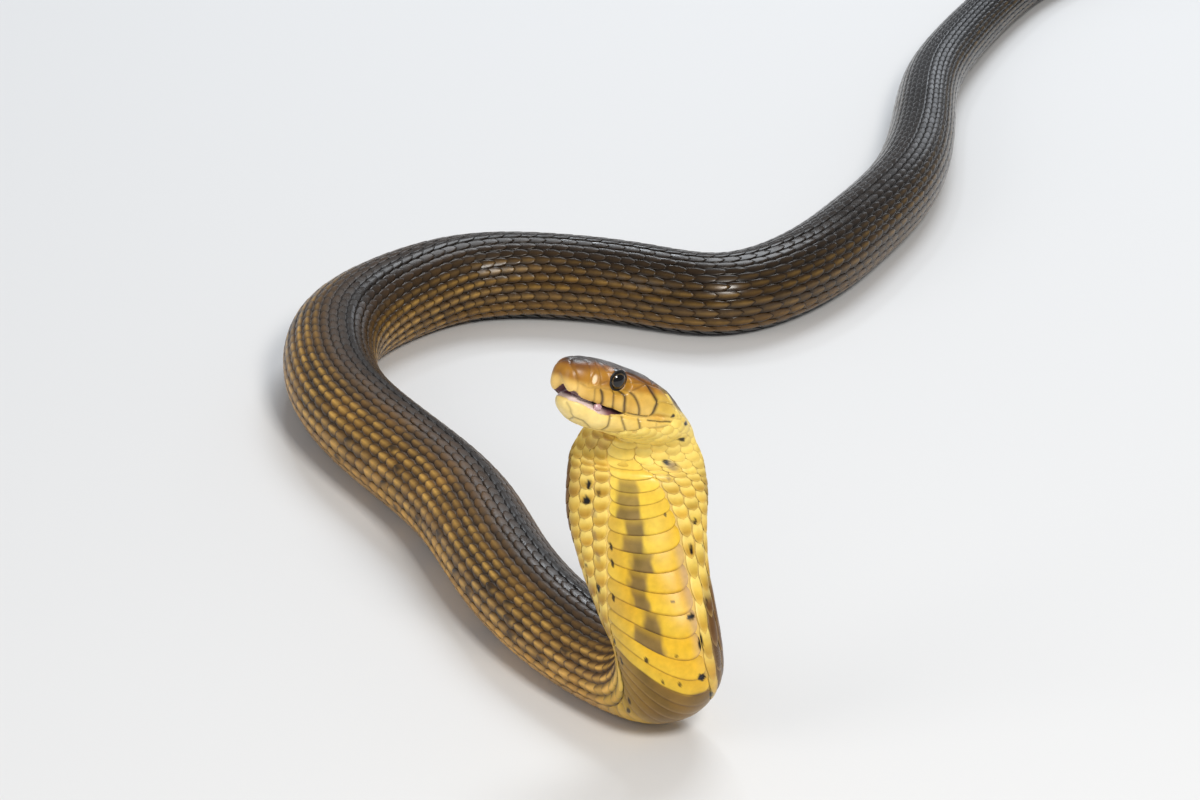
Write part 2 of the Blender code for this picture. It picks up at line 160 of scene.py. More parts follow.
class Body:
    """The body's centreline, its cut planes and its section."""

    def __init__(self):
        self.girth = girth = table(GIRTH)
        head = [(head_point(20, 0, -2.6), -CROWN), (head_point(29, 0, -3.0), -CROWN), (head_point(JOINT_A, 0, JOINT_H), -CROWN)]
        knots = [p for p, _ in head] + [np.array(p) * MM for p, _ in LIFT]
        belly = [v for _, v in head] + [np.array(v) for _, v in LIFT]
        plan = [(k[0], k[1]) for k in (knots[-2:])] + [(x * MM, y * MM) for x, y, _ in FLOOR]
        length = 100.0
        for i, (x, y, roll) in enumerate(FLOOR):
            here, last = np.array((x, y)) * MM, np.array(plan[i + 1])
            length += np.linalg.norm(here - last) / MM
            after = np.array(FLOOR[min(i + 1, len(FLOOR) - 1)][:2]) * MM
            way = unit(after - last)
            side = np.array([-way[1], way[0], 0.0])
            knots.append(np.array([here[0], here[1], girth(length)[0, 2] * SEAT * MM]))
            belly.append(np.array([0, 0, -math.cos(math.radians(roll))]) + side * math.sin(math.radians(roll)))
        knots, belly = np.array(knots), unit(np.array(belly))
        t = np.concatenate([[0], np.cumsum(np.linalg.norm(np.diff(knots, axis=0), axis=1))])
        fine = np.linspace(0, t[-1], 6001)
        path = natural_spline(t, knots)(fine)
        run = np.concatenate([[0], np.cumsum(np.linalg.norm(np.diff(path, axis=0), axis=1))])
        joint = np.interp(t[2], fine, run)
        self.s, self.path = (run - joint) / MM, path
        at = np.interp(t, fine, self.s)
        self.length = self.s[-1]
        at_run = lambda x: np.column_stack([np.interp(x, run, path[:, k]) for k in range(3)])
        along = unit(at_run(run + CHORD * MM) - at_run(run - CHORD * MM))
        top, straight = at[3], at[4] + 4.0
        w, v = ease(self.s / top)[:, None], ease((self.s - top) / (straight - top))[:, None]
        cut = unit(JOINT_CUT * (1 - w) + HOOD_CUT * w)
        back = lean(JOINT_A + self.s)[:, None]
        ahead = unit(-FORE + back * (LEFT * LEAN_B + CROWN * LEAN_H))
        self.normal = unit(np.where(self.s[:, None] < 0, ahead, np.where(self.s[:, None] < top, cut, HOOD_CUT * (1 - v) + along * v)))
        belly = unit(table([(a,) + tuple(v) for a, v in zip(at, belly)])(self.s))
        self.belly = unit(belly - self.normal * np.sum(belly * self.normal, axis=1, keepdims=True))
        self.side = np.cross(self.belly, self.normal)
        self.floor_from = np.interp(t[9], fine, self.s)
        self.make_rounds()

    # section: x to the left, y to the belly, at the angle phi from the belly's middle line
    def section(self, s, phi):
        half, back, front = self.girth(s).T
        hood = np.interp(s, (-20, 0, 14, 44, 72, 100), (0, 0.05, 1, 0.75, 0.2, 0))
        trunk = np.interp(s, (60, 130, 1100, 1300), (0, 1, 1, 0))
        c, n = np.cos(phi), np.sin(phi)
        x = half * n
        flat = np.abs(c)
        y = np.where(c > 0, front * flat ** (1 + 0.30 * hood - 0.10 * trunk), -back * flat ** (1 + 0.25 * hood + 0.10 * trunk))
        ridge = trunk * half / 17.0 * 0.55 * np.exp(-(n / 0.13) ** 2)
        return x, np.where(c < 0, y - ridge, y)

    def make_rounds(self):
        """How the share of the half girth, from the belly's middle line, maps to the angle."""
        self.st = np.arange(-17.0, self.length + 1.0, 1.0)
        phi = np.linspace(0, math.pi, 97)
        share = np.linspace(0, 1, 65)
        self.half_girth, self.phi = np.zeros(len(self.st)), np.zeros((len(self.st), 65))
        for i, s in enumerate(self.st):
            x, y = self.section(np.full(97, s), phi)
            arc = np.concatenate([[0], np.cumsum(np.hypot(np.diff(x), np.diff(y)))])
            self.half_girth[i] = arc[-1]
            self.phi[i] = np.interp(share, arc / arc[-1], phi)

    def angle(self, s, f):
        """Angle phi for the share f of the half girth; f runs from -1 to 1 and on round the back."""
        f = np.mod(np.asarray(f, float) + 1, 2) - 1
        sign, f = np.sign(f), np.abs(f)
        i = np.clip(s - self.st[0], 0, len(self.st) - 1.001)
        j = np.clip(f * 64, 0, 63.999)
        i0, j0 = i.astype(int), j.astype(int)
        u, v = i - i0, j - j0
        a = self.phi[i0, j0] * (1 - u) + self.phi[i0 + 1, j0] * u
        b = self.phi[i0, j0 + 1] * (1 - u) + self.phi[i0 + 1, j0 + 1] * u
        return sign * (a * (1 - v) + b * v)

    def girth_half(self, s):
        return np.interp(s, self.st, self.half_girth)

    def frame(self, s):
        pick = lambda v: np.column_stack([np.interp(s, self.s, v[:, k]) for k in range(3)])
        return pick(self.path), pick(self.normal), pick(self.belly), pick(self.side)

    def point(self, s, f):
        s = np.asarray(s, float)
        x, y = self.section(s, self.angle(s, f))
        c, _, belly, side = self.frame(s)
        return c + (side * x[:, None] + belly * y[:, None]) * MM

    def surface(self, s, f):
        """Place and outward normal."""
        p = self.point(s, f)
        df = 0.25 / self.girth_half(s)
        n = np.cross(self.point(s + 0.35, f) - self.point(s - 0.35, f), self.point(s, f + df) - self.point(s, f - df))
        n = unit(n)
        out = p - self.frame(s)[0]
        n *= np.where(np.sum(n * out, axis=1) < 0, -1.0, 1.0)[:, None]
        return p, n


BODY = Body()
HEAD, JAW = table(HEAD_LINES), table(JAW_LINES)

# ---------------------------------------------------------------- how the scales are set out
# arc length, half width of the belly plates, spacing of the scales along the body
FIELD = table([(-17, 4.6, 2.3), (0, 3.8, 2.4), (8, 4.4, 3.2), (14, 5.7, 3.6), (20, 7.2, 3.8), (28, 9.1, 4.1), (38, 11.5, 5.5), (50, 12.9, 6.0), (60, 14.3, 6.2),
               (68, 16.0, 5.9), (84, 16.8, 5.5), (108, 15.8, 5.7), (200, 14.4, 6.1), (400, 13.4, 6.2), (600, 11.9, 6.0), (800, 9.4, 5.6), (1000, 7.7, 5.2), (1190, 6.9, 5.0),
               (1215, 5.8, 5.0), (1310, 4.5, 5.0), (1400, 2.8, 4.5), (1460, 1.5, 3.4), (1500, 0.8, 2.4)])
ROW_WIDTH = np.array([1.34, 1.28, 1.16, 1.06, 1.0, 0.96, 0.93, 0.91, 0.90, 0.90, 0.50])   # from the belly plates up; the last is half of the middle row
ROW_EDGE = np.concatenate([[0], np.cumsum(ROW_WIDTH)]) / ROW_WIDTH.sum()
ROW_AT = np.array([0, 1, 2, 3, 4, 5, 6, 7, 8, 9, 10, 10.5])


def belly_share(s):
    s = np.asarray(s, float)
    return FIELD(s.ravel())[:, 0].reshape(s.shape) / BODY.girth_half(s)


def slant(s, g):
    """Low on the hood the rows of scales run aslant: how far along the body a row is carried at share g."""
    k = np.interp(s, (34, 43, 50, 56, 62, 75, 84, 92, 100, 108, 114), (0, 2.0, 3.8, 5.0, 5.6, 5.5, 4.6, 3.2, 1.6, 0.5, 0))
    return 1.25 * k * np.sin(np.pi * g)


def row_place(s, g):
    """The row that passes through arc length s and share g."""
    t = s
    for _ in range(4):
        t = s - slant(t, g)
    return t


run_s = np.arange(-17.0, 1300.0, 0.5)
run_p = BODY.point(run_s, np.zeros(len(run_s)))
run_l = np.concatenate([[0], np.cumsum(np.linalg.norm(np.diff(run_p, axis=0), axis=1))]) / MM


def belly_steps(s, end, share=1.0):
    """Stations from s on, spaced along the belly's own middle line."""
    out = []
    while s < end:
        out.append(s)
        step = float(FIELD(s)[0, 1])
        even = np.interp(np.interp(s, run_s, run_l) + step, run_l, run_s) if s < 1280 else s + step
        k = share if np.isscalar(share) else float(np.interp(s, share[0], share[1]))
        s = s + step * (1 - k) + (even - s) * k
    return np.array(out)

# ---------------------------------------------------------------- colours
def lin(*rgb):
    c = np.array(rgb, float)
    return np.where(c <= 0.04045, c / 12.92, ((c + 0.055) / 1.055) ** 2.4)


def mix(a, b, t):
    return a + (b - a) * np.asarray(t, float)[..., None]


LATTICE = np.random.RandomState(11).rand(64, 64, 64)


def noise(x, y, z=0.0):
    """Smooth value noise in -1..1, one lump to a unit."""
    x, y, z = np.broadcast_arrays(np.asarray(x, float), np.asarray(y, float), np.asarray(z, float))
    i, j, k = np.floor(x).astype(int), np.floor(y).astype(int), np.floor(z).astype(int)
    u, v, w = (t * t * (3 - 2 * t) for t in (x - i, y - j, z - k))
    g = lambda a, b, c: LATTICE[(i + a) % 64, (j + b) % 64, (k + c) % 64]
    low = (g(0, 0, 0) * (1 - u) + g(1, 0, 0) * u) * (1 - v) + (g(0, 1, 0) * (1 - u) + g(1, 1, 0) * u) * v
    top = (g(0, 0, 1) * (1 - u) + g(1, 0, 1) * u) * (1 - v) + (g(0, 1, 1) * (1 - u) + g(1, 1, 1) * u) * v
    return (low * (1 - w) + top * w) * 2 - 1


BLOTCHES = [   # arc length from and to, millimetres from the middle of the belly from and to: grey-brown marks right of the middle
    (24.4, 28.3, -6.2, 0.3), (28.3, 32.8, -6.3, 0.8), (32.9, 37.4, -4.4, 2.0), (37.4, 43.6, -6.0, 0.6), (43.8, 49.2, -4.4, 2.8),
    (53.6, 61.0, -5.4, 0.0), (61.2, 66.0, -2.4, 2.6), (66.1, 70.4, -6.6, 3.4),
]


SPOTS = [   # arc length, share of the half girth, half length and half width in millimetres, strength
    (23.6, -0.304, 1.3, 0.8, 1.0), (28.0, -0.315, 1.2, 1.3, 1.0), (53.0, -0.345, 1.1, 1.0, 1.0), (46.0, -0.40, 0.6, 0.5, 0.8), (26.0, -0.235, 1.2, 0.5, 0.7),
    (1.0, 0.55, 1.0, 0.9, 1.0), (4.3, 0.38, 1.2, 0.9, 1.0), (12.0, 0.225, 1.3, 1.1, 1.0), (37.5, 0.36, 1.0, 0.7, 1.0), (47.0, 0.315, 1.6, 0.7, 1.0), (46.5, 0.42, 0.6, 0.5, 0.8),
    (64.5, 0.39, 0.8, 0.6, 0.9), (66.5, 0.262, 0.7, 1.5, 1.0), (72.6, 0.318, 1.6, 0.7, 1.0), (79.4, 0.290, 0.8, 1.7, 1.0), (85.0, 0.34, 1.2, 0.8, 0.9),
    (41.5, -0.190, 1.3, 0.5, 0.9), (46.5, -0.200, 1.3, 0.5, 0.9), (56.5, -0.240, 1.3, 0.5, 0.9), (77.0, -0.275, 1.6, 0.7, 0.9), (70.5, -0.315, 1.4, 0.7, 0.9),
    (33.5, 0.165, 0.6, 0.5, 0.8), (61.5, 0.150, 0.5, 0.6, 0.8), (74.5, -0.050, 0.7, 0.7, 0.9), (79.5, 0.03, 0.5, 0.5, 0.8), (80.0, 0.135, 0.5, 0.5, 0.8), (74.0, 0.150, 0.4, 0.5, 0.7),
]
SMUDGES = [(14.0, 0.255, 2.4, 2.0, 0.75), (38.0, -0.285, 1.8, 0.9, 0.6), (44.0, -0.290, 1.8, 0.9, 0.6), (31.5, -0.270, 1.5, 0.9, 0.5), (20.5, 0.20, 2.0, 0.7, 0.7)]


def spotted(c, s, g):
    half = BODY.girth_half(s)
    for s0, g0, ls, lx, k in SMUDGES:
        d = np.hypot((s - s0) / ls, (g - g0) * half / lx)
        c = mix(c, lin(0.42, 0.33, 0.31), k * ease(1.25 - d, 0.0, 0.6) * (0.8 + 0.2 * noise(s / 1.2, g * 60, 4.0)))
    for s0, g0, ls, lx, k in SPOTS:
        d = np.hypot((s - s0) / ls, (g - g0) * half / lx)
        c = mix(c, lin(0.055, 0.042, 0.03), k * ease(1.2 - d + 0.15 * noise(s * 1.4, g * 80, 9.0), 0.0, 0.35))
    return c


def blotch_paint(s, x):
    return mix(lin(0.33, 0.265, 0.20), lin(0.49, 0.40, 0.29), 0.5 + 0.5 * noise(s / 2.1, x * 4, 1.0))


def belly_paint(s, g, flat=None, marked=True):
    """Colour of the belly plates at arc length s and share g."""
    flat = s if flat is None else flat
    fv = belly_share(s)
    x = g / fv
    n = noise(s / 9.0, x * 2.5, 3.0)
    yellow, deep, pale = lin(0.93, 0.79, 0.27), lin(0.91, 0.70, 0.12), lin(0.97, 0.87, 0.46)
    c = mix(yellow, deep, np.clip(0.45 * ease(s, 34, 60) + 0.3 * ease(x, 0.2, 0.9) + 0.25 * n, 0, 1))
    c = mix(c, pale, np.clip(0.75 * (1 - ease(s, 10, 30)) + 0.25 * ease(-x, 0.5, 1.0), 0, 1))
    mark, off = np.zeros(len(s)), g * BODY.girth_half(s)
    for s0, s1, x0, x1 in BLOTCHES if marked else ():
        d = np.maximum(np.abs(flat - (s0 + s1) / 2) - (s1 - s0) / 2, np.abs(off - (x0 + x1) / 2) - (x1 - x0) / 2)
        mark = np.maximum(mark, ease(0.25 - d + 0.55 * noise(s / 2.6, off / 2.2, 8.0), -0.45, 0.60))
    c = mix(c, blotch_paint(s, x), mark * 0.90)
    band = ease(flat + 0.5 * noise(s / 4.0, x * 4, 2.0), 79.3, 80.3) * (1 - ease(s, 92, 100))
    c = mix(c, mix(lin(0.30, 0.215, 0.125), lin(0.47, 0.34, 0.18), np.clip(0.4 + 0.5 * noise(s / 5.0, x * 3, 6.0) + 0.3 * x, 0, 1)), band * 0.88)
    tan = mix(lin(0.80, 0.62, 0.33), lin(0.42, 0.30, 0.16), np.clip(0.25 + 0.5 * noise(s / 16.0, x * 1.5, 5.0) + 0.5 * ease(s, 180, 400), 0, 1))
    c = mix(c, tan, ease(s, 90, 112))
    dark = lin(0.075, 0.068, 0.060)
    return mix(c, dark, np.clip(ease(s, 330, 560) + 0.4 * ease(s, 260, 420) * (noise(s / 21.0, 2.0) > 0.25), 0, 1))


def wing_back(s, g, q):
    """1 on the brown hind face of the hood, 0 on its yellow front face; low on the right only one row stays yellow."""
    left, n = g < 0, noise(s / 17.0, q * 6, 2.0)
    edge = np.where(left, 0.24, 0.30) + 0.03 * n - np.where(left, 0.10 * ease(s, 54, 66), 0.22 * ease(s, 46, 60)) + 0.30 * (1 - ease(s, 0, 22))
    return ease(q, edge, edge + np.where(left, 0.16, 0.16 - 0.10 * ease(s, 46, 60)))


def back_paint(s, g):
    """Colour of the back and the flanks: yellow-tan low down in front, olive-brown above, black towards the tail."""
    fv = belly_share(s)
    q = np.clip((np.abs(g) - fv) / (1 - fv), 0, 1)
    n, m = noise(s / 17.0, q * 6, 2.0), noise(s / 6.0, q * 11, 7.0)
    low = mix(lin(0.78, 0.58, 0.24), lin(0.58, 0.41, 0.15), np.clip(0.5 + 0.8 * m, 0, 1))
    mid = mix(lin(0.56, 0.40, 0.17), lin(0.34, 0.235, 0.10), np.clip(0.5 + 0.8 * n + 0.4 * m, 0, 1))
    top = mix(lin(0.31, 0.215, 0.10), lin(0.14, 0.105, 0.07), ease(q, 0.86, 0.97))
    c = mix(mix(low, mid, ease(q + 0.05 * n, 0.08, 0.30)), top, ease(q + 0.06 * m, 0.44, 0.90))
    d = np.interp(s, (100, 250, 330, 420, 520, 640, 740, 860), (0, 0.12, 0.30, 0.44, 0.54, 0.70, 0.88, 1.0))
    low1, mid1, top1 = lin(0.40, 0.28, 0.12), lin(0.23, 0.16, 0.075), lin(0.135, 0.098, 0.06)
    brown = mix(mix(low1, mid1, ease(q, 0.05, 0.30)), top1, ease(q, 0.3, 0.75))
    black = lin(0.045, 0.044, 0.044)
    c = mix(c, brown, ease(d, 0.0, 0.72))
    c = mix(c, black, ease(d, 0.70, 1.0))
    # the hood: amber and yellow on its front face, brown behind
    left = g < 0
    # the left wing is deeper amber and, near the head, less lemon than the right: the amber and lemon are its own, the
    # left-right difference is painted shade
    wing = mix(lin(0.92, 0.78, 0.33), lin(0.76, 0.58, 0.18), np.clip(0.40 + 0.5 * m + np.where(left, 0.25, 0.0), 0, 1))
    wing = mix(wing, lin(0.96, 0.85, 0.44), (1 - ease(s, 10, 32)) * np.where(left, 0.25, 0.75))
    behind = mix(lin(0.42, 0.29, 0.14), lin(0.26, 0.18, 0.10), ease(q + 0.4 * ease(s, 56, 76), 0.45, 0.85))
    hood = mix(wing, behind, wing_back(s, g, q))
    return mix(hood, c, ease(s, 84, 118))


def body_paint(s, g, spots=True):
    g = np.mod(g + 1, 2) - 1
    t = ease(np.abs(g) / belly_share(s), 0.97, 1.03)
    c = mix(belly_paint(s, np.clip(g, -0.6, 0.6)), back_paint(s, g), t)
    near_head = (s < 95) & spots
    if near_head.any():
        c[near_head] = spotted(c[near_head], s[near_head] + slant(s[near_head], g[near_head]), g[near_head])
    return c


# ---------------------------------------------------------------- mesh helpers
def new_mesh(name, verts, faces, paint=None, rough=None, uv=None, smooth=True):
    """faces: a list of (n, k) index arrays."""
    mesh = bpy.data.meshes.new(name)
    faces = [np.asarray(f) for f in faces if len(f)]
    loops = np.concatenate([f.ravel() for f in faces]).astype(np.int32)
    total = np.concatenate([np.full(len(f), f.shape[1]) for f in faces]).astype(np.int32)
    mesh.vertices.add(len(verts))
    mesh.vertices.foreach_set("co", np.asarray(verts, np.float32).ravel())
    mesh.loops.add(len(loops))
    mesh.loops.foreach_set("vertex_index", loops)
    mesh.polygons.add(len(total))
    mesh.polygons.foreach_set("loop_start", np.concatenate([[0], np.cumsum(total)[:-1]]).astype(np.int32))
    mesh.polygons.foreach_set("loop_total", total)
    mesh.polygons.foreach_set("use_smooth", np.full(len(total), smooth))
    mesh.update(calc_edges=True)
    if paint is not None:
        add_paint(mesh, paint, rough)
    if uv is not None:
        layer = mesh.uv_layers.new(name="OFBake")
        layer.data.foreach_set("uv", np.asarray(uv, np.float32)[loops].ravel())
    mesh.validate()
    obj = bpy.data.objects.new(name, mesh)
    bpy.context.scene.collection.objects.link(obj)
    return obj


def add_paint(mesh, paint, rough):
    a = mesh.attributes.new("paint", "FLOAT_COLOR", "POINT")
    a.data.foreach_set("color", np.column_stack([paint, np.ones(len(paint))]).astype(np.float32).ravel())
    b = mesh.attributes.new("matt", "FLOAT", "POINT")
    b.data.foreach_set("value", np.asarray(rough, np.float32))


def coords(mesh):
    v = np.empty(len(mesh.vertices) * 3, np.float32)
    mesh.vertices.foreach_get("co", v)
    return v.reshape(-1, 3).astype(float)


def ring_faces(rows, n, first=0, flip=False):
    i, j = np.meshgrid(np.arange(rows - 1), np.arange(n), indexing="ij")
    a, b = first + i * n + j, first + i * n + (j + 1) % n
    quad = np.stack([a, b, b + n, a + n], axis=-1).reshape(-1, 4)
    return quad[:, ::-1] if flip else quad


def capped(rings, name):
    """Closed mesh object through rings of points (rows, n, 3)."""
    rows, n, _ = rings.shape
    verts = np.concatenate([rings.reshape(-1, 3), rings[0].mean(axis=0)[None], rings[-1].mean(axis=0)[None]])
    k = np.arange(n)
    first = np.column_stack([(k + 1) % n, k, np.full(n, rows * n)])
    last = np.column_stack([(rows - 1) * n + k, (rows - 1) * n + (k + 1) % n, np.full(n, rows * n + 1)])
    return new_mesh(name, verts, [ring_faces(rows, n), first, last])


# ---------------------------------------------------------------- the head's skin
def skull_section(a, q):
    half, crown, lip, wide = HEAD(a).T
    c, n = np.cos(q), np.sin(q)
    k, m = np.abs(c), np.abs(n)
    b = np.sign(n) * half * np.where(c > 0, m ** 0.66 * (1 - 0.22 * k ** 1.2), m ** 0.55 * (1 - 0.05 * k))
    full = ease(a, 1.0, 4.0) * (1 - ease(a, 25, 29.5))
    h = np.where(c > 0, wide + (crown - wide) * k ** 0.5, wide - (wide - lip) * k ** (0.75 - 0.30 * full))
    h = h - np.where(c > 0, 0.0, (0.42 + 0.70 * ease(a, 14, 21)) * full * ease(k, 0.0, 0.5))
    h = h - np.where(c > 0, 0.0, 1.2 * ease(-b, 0.8, 4.5) * (1 - ease(a, 2.5, 9.0)) * ease(k, 0.0, 0.6))
    vault = 1.0 * ease(a, 0.5, 3.0) * (1 - ease(a, 17, 24)) * ease(half - 2.1 - np.abs(b), 0, 1.4)
    arch = 2.3 * np.exp(-(b / 2.3) ** 2) * (1 - ease(a, 2.6, 6.0))
    return b, np.where(c > 0, h, h + np.maximum(vault, arch * ease(k, 0.0, 0.6)))


def jaw_section(a, q):
    half, lip, under = JAW(a).T
    lip = lip + 0.9 * ease(a, 23.0, 27.5) + 0.35 * ease(a, 16.0, 20.0) * (1 - ease(a, 23.0, 27.5))
    c, n = np.cos(q), np.sin(q)
    k, m = np.abs(c), np.abs(n)
    mid = lip - 0.25 * (lip - under)
    b = np.sign(n) * half * np.where(c > 0, m ** 0.55, m ** 0.9)
    h = np.where(c > 0, mid + (lip - mid) * k ** 0.7, mid - (mid - under) * k ** 0.9)
    top = HEAD(a)[:, 2] + 1.6   # gum and tongue floor fill the mouth up to the palate
    fill = ease(a, 1.9, 3.2) * (1 - ease(a, 24, 26)) * ease(half - np.interp(a, (2, 6, 12, 24), (1.0, 1.7, 2.4, 2.4)) - np.abs(b), 0, 1.1)
    gum = 0.40 * ease(a, 1.5, 2.5) * ease(half - 0.9 - np.abs(b), 0, 0.8)
    return b, np.where(c > 0, h + np.maximum((top - h) * fill, gum * ease(k, 0.3, 0.7)), h)


def head_rings(stations, section, inset, n=112):
    q = np.linspace(0, 2 * math.pi, n, endpoint=False)
    rings = []
    for a in stations:
        w, there = lean(a), np.full(n, float(a))
        for _ in range(6):
            b, h = section(there, q)
            there = a - w * (b * LEAN_B + (h - JOINT_H) * LEAN_H)
        mid = (h.max() + h.min()) / 2
        size = np.hypot(b, h - mid)
        k = np.maximum(1 - inset / np.maximum(size, 1e-6), 0.3)
        rings.append(head_point(there, b * k, mid + (h - mid) * k))
    return np.array(rings)


VOXEL = 0.37 * MM
NECK_CUT = 15.0
skull_stations = np.concatenate([[-2.78, -2.68, -2.6, -2.45, -2.25, -2.0, -1.6, -1.2, -0.7, 0, 0.8, 1.6, 2.4], np.arange(3.2, 36.3, 0.75)])
jaw_stations = np.concatenate([[0.62, 0.75, 0.9, 1.1, 1.4, 1.8, 2.3, 2.9, 3.6, 4.4], np.arange(5.2, 36.3, 0.75)])
skull_rings = head_rings(skull_stations, skull_section, 0.10)
jaw_rings = head_rings(jaw_stations, jaw_section, 0.10)
tip = head_point(-2.9, 0, 3.1)
for i, k in ((0, 0.45), (1, 0.80)):
    skull_rings[i] = tip + (skull_rings[2] - tip) * k + (-FORE) * (0.02, 0.08)[i] * MM
tip = head_point(0.6, 0, -5.4)
for i, k in ((0, 0.5), (1, 0.82)):
    jaw_rings[i] = tip + (jaw_rings[2] - tip) * k
stub_s, stub_f = np.arange(-7.0, NECK_CUT + 3.1, 1.0), np.linspace(-1, 1, 96, endpoint=False)
stub = []
for s in stub_s:
    ss = np.full(96, s)
    p, nrm = BODY.surface(ss, stub_f)
    stub.append(p - nrm * (0.10 + (COAT - 0.10) * ease(s, -4, 8)) * MM - nrm * 0.5 * (1 - ease(s, -7, -2)) * MM)
parts = [capped(skull_rings, "h1"), capped(jaw_rings, "h2"), capped(np.array(stub), "h3")]
for obj in parts:
    bm = bmesh.new()
    bm.from_mesh(obj.data)
    bmesh.ops.recalc_face_normals(bm, faces=bm.faces)
    bm.to_mesh(obj.data)
    bm.free()
bm = bmesh.new()
for obj in parts:
    bm.from_mesh(obj.data)
joined = bpy.data.meshes.new("head_volume")
bm.to_mesh(joined)
bm.free()
for obj in parts:
    bpy.data.objects.remove(obj)
volume = bpy.data.objects.new("head_volume", joined)
bpy.context.scene.collection.objects.link(volume)
mod = volume.modifiers.new("v", "REMESH")
mod.mode, mod.voxel_size, mod.adaptivity = "VOXEL", VOXEL, 0.0
graph = bpy.context.evaluated_depsgraph_get()
solid = bpy.data.meshes.new_from_object(volume.evaluated_get(graph))
bpy.data.objects.remove(volume)

# keep the largest shell, cut it at the neck, smooth it
bm = bmesh.new()
bm.from_mesh(solid)
bm.verts.ensure_lookup_table()
cut_c, cut_n, cut_b, cut_x = (v[0] for v in BODY.frame(np.array([NECK_CUT])))
bmesh.ops.bisect_plane(bm, geom=bm.verts[:] + bm.edges[:] + bm.faces[:], dist=1e-7, plane_co=Vector(cut_c), plane_no=Vector(cut_n), clear_outer=True)
shells = []
bm.verts.index_update()
label = np.full(len(bm.verts), -1)
for v in bm.verts:
    if label[v.index] >= 0:
        continue
    stack, count, me = [v], 0, v.index
    label[v.index] = me
    while stack:
        x = stack.pop()
        count += 1
        for e in x.link_edges:
            y = e.other_vert(x)
            if label[y.index] < 0:
                label[y.index] = me
                stack.append(y)
    shells.append((count, me))
keep = max(shells)[1]
bmesh.ops.delete(bm, geom=[v for v in bm.verts if label[v.index] != keep], context="VERTS")
for _ in range(3):
    bmesh.ops.smooth_vert(bm, verts=[v for v in bm.verts if not v.is_boundary], factor=0.5, use_axis_x=True, use_axis_y=True, use_axis_z=True)
bm.verts.index_update()
head_v = np.array([v.co[:] for v in bm.verts])
head_tri = [[v.index for v in f.verts] for f in bm.faces]
rim = np.array([v.index for v in bm.verts if v.is_boundary])
pairs = np.array([[e.verts[0].index, e.verts[1].index] for e in bm.edges])
bm.free()
ends, others = np.concatenate([pairs[:, 0], pairs[:, 1]]), np.concatenate([pairs[:, 1], pairs[:, 0]])
all_ends, all_others = ends, others
past = ((head_v - head_point(JOINT_A, 0, JOINT_H)) @ JOINT_CUT) / MM
at_a, at_b, at_h = head_coords(head_v)
nape = ease(at_a, 26.0, 33.0) * (1 - ease(past, -3.0, 4.0)) * ease(at_h, -1.0, 2.5)
head_v = head_v - (CROWN * 0.9 - FORE * 0.5)[None] * (nape * MM)[:, None] - LEFT[None] * (np.clip(at_b / 12, -1, 1) * 0.5 * nape * MM)[:, None]
# the back corner of the head is drawn in to the neck's line
across = 0.7387 * at_a + 0.6035 * np.abs(at_b) + 0.3002 * at_h
up = -0.2009 * at_a - 0.2279 * np.abs(at_b) + 0.9527 * at_h
over = across - np.interp(-up, (1.9, 3.5, 5.1, 7.4, 9.7, 11.8, 13.9, 16.5, 20.1), (32.5, 33.5, 34.4, 35.6, 36.9, 38.1, 39.4, 40.8, 42.6))
over = 0.35 * np.log1p(np.exp(np.clip(over / 0.35, -30, 30))) * ease(at_a, 20, 26) * (1 - ease(past, 3.0, 10.0)) * ease(-up, 0.5, 3.0)
head_v = head_v - (-FORE * 0.7387 + CROWN * 0.3002)[None] * (over * MM)[:, None] - LEFT[None] * (np.sign(at_b) * 0.6035 * over * MM)[:, None]
soft = ease(at_a, 28.0, 32.0) * (1 - ease(past, 9.0, 12.0))
soft[rim] = 0
moving = np.nonzero(soft > 0)[0]
local = np.full(len(head_v), -1)
local[moving] = np.arange(len(moving))
inner = local[ends] >= 0
ends, others, soft = local[ends[inner]], others[inner], soft[moving][:, None]
degree = np.bincount(ends, minlength=len(moving))[:, None]
for _ in range(260):
    for push in (0.5, -0.503):
        mean = np.column_stack([np.bincount(ends, weights=head_v[others, k], minlength=len(moving)) for k in range(3)]) / degree
        head_v[moving] += (mean - head_v[moving]) * soft * push


def vertex_normals(v, faces):
    out = np.zeros_like(v)
    for size in (3, 4):
        f = np.array([x for x in faces if len(x) == size])
        if not len(f):
            continue
        n = np.cross(v[f[:, 2]] - v[f[:, 0]], v[f[:, -1]] - v[f[:, 1]])
        for k in range(size):
            for d in range(3):
                out[:, d] += np.bincount(f[:, k], weights=n[:, d], minlength=len(v))
    return unit(out)


head_n = vertex_normals(head_v, head_tri)
if np.mean(np.sum(head_n * (head_v - head_point(18, 0, 0)), axis=1)) < 0:
    head_n = -head_n
tree = BVHTree.FromPolygons([Vector(v) for v in head_v], head_tri)
print("head skin", len(head_v), len(head_tri), "shells", len(shells), "rim", len(rim))


def snap(p):
    out, nrm = np.empty_like(p), np.empty_like(p)
    for i, q in enumerate(p):
        hit = tree.find_nearest(Vector(q))
        out[i], nrm[i] = hit[0], hit[1]
    return out, nrm


def drop(a, b, way):
    """Place on the skin over (way 1) or under (way -1) the point a, b of the head."""
    q = head_point(a, b, 14.0 if way > 0 else -17.0)
    hit = tree.ray_cast(Vector(q), Vector(CROWN * -way))
    return np.array(hit[0]) if hit[0] is not None else q


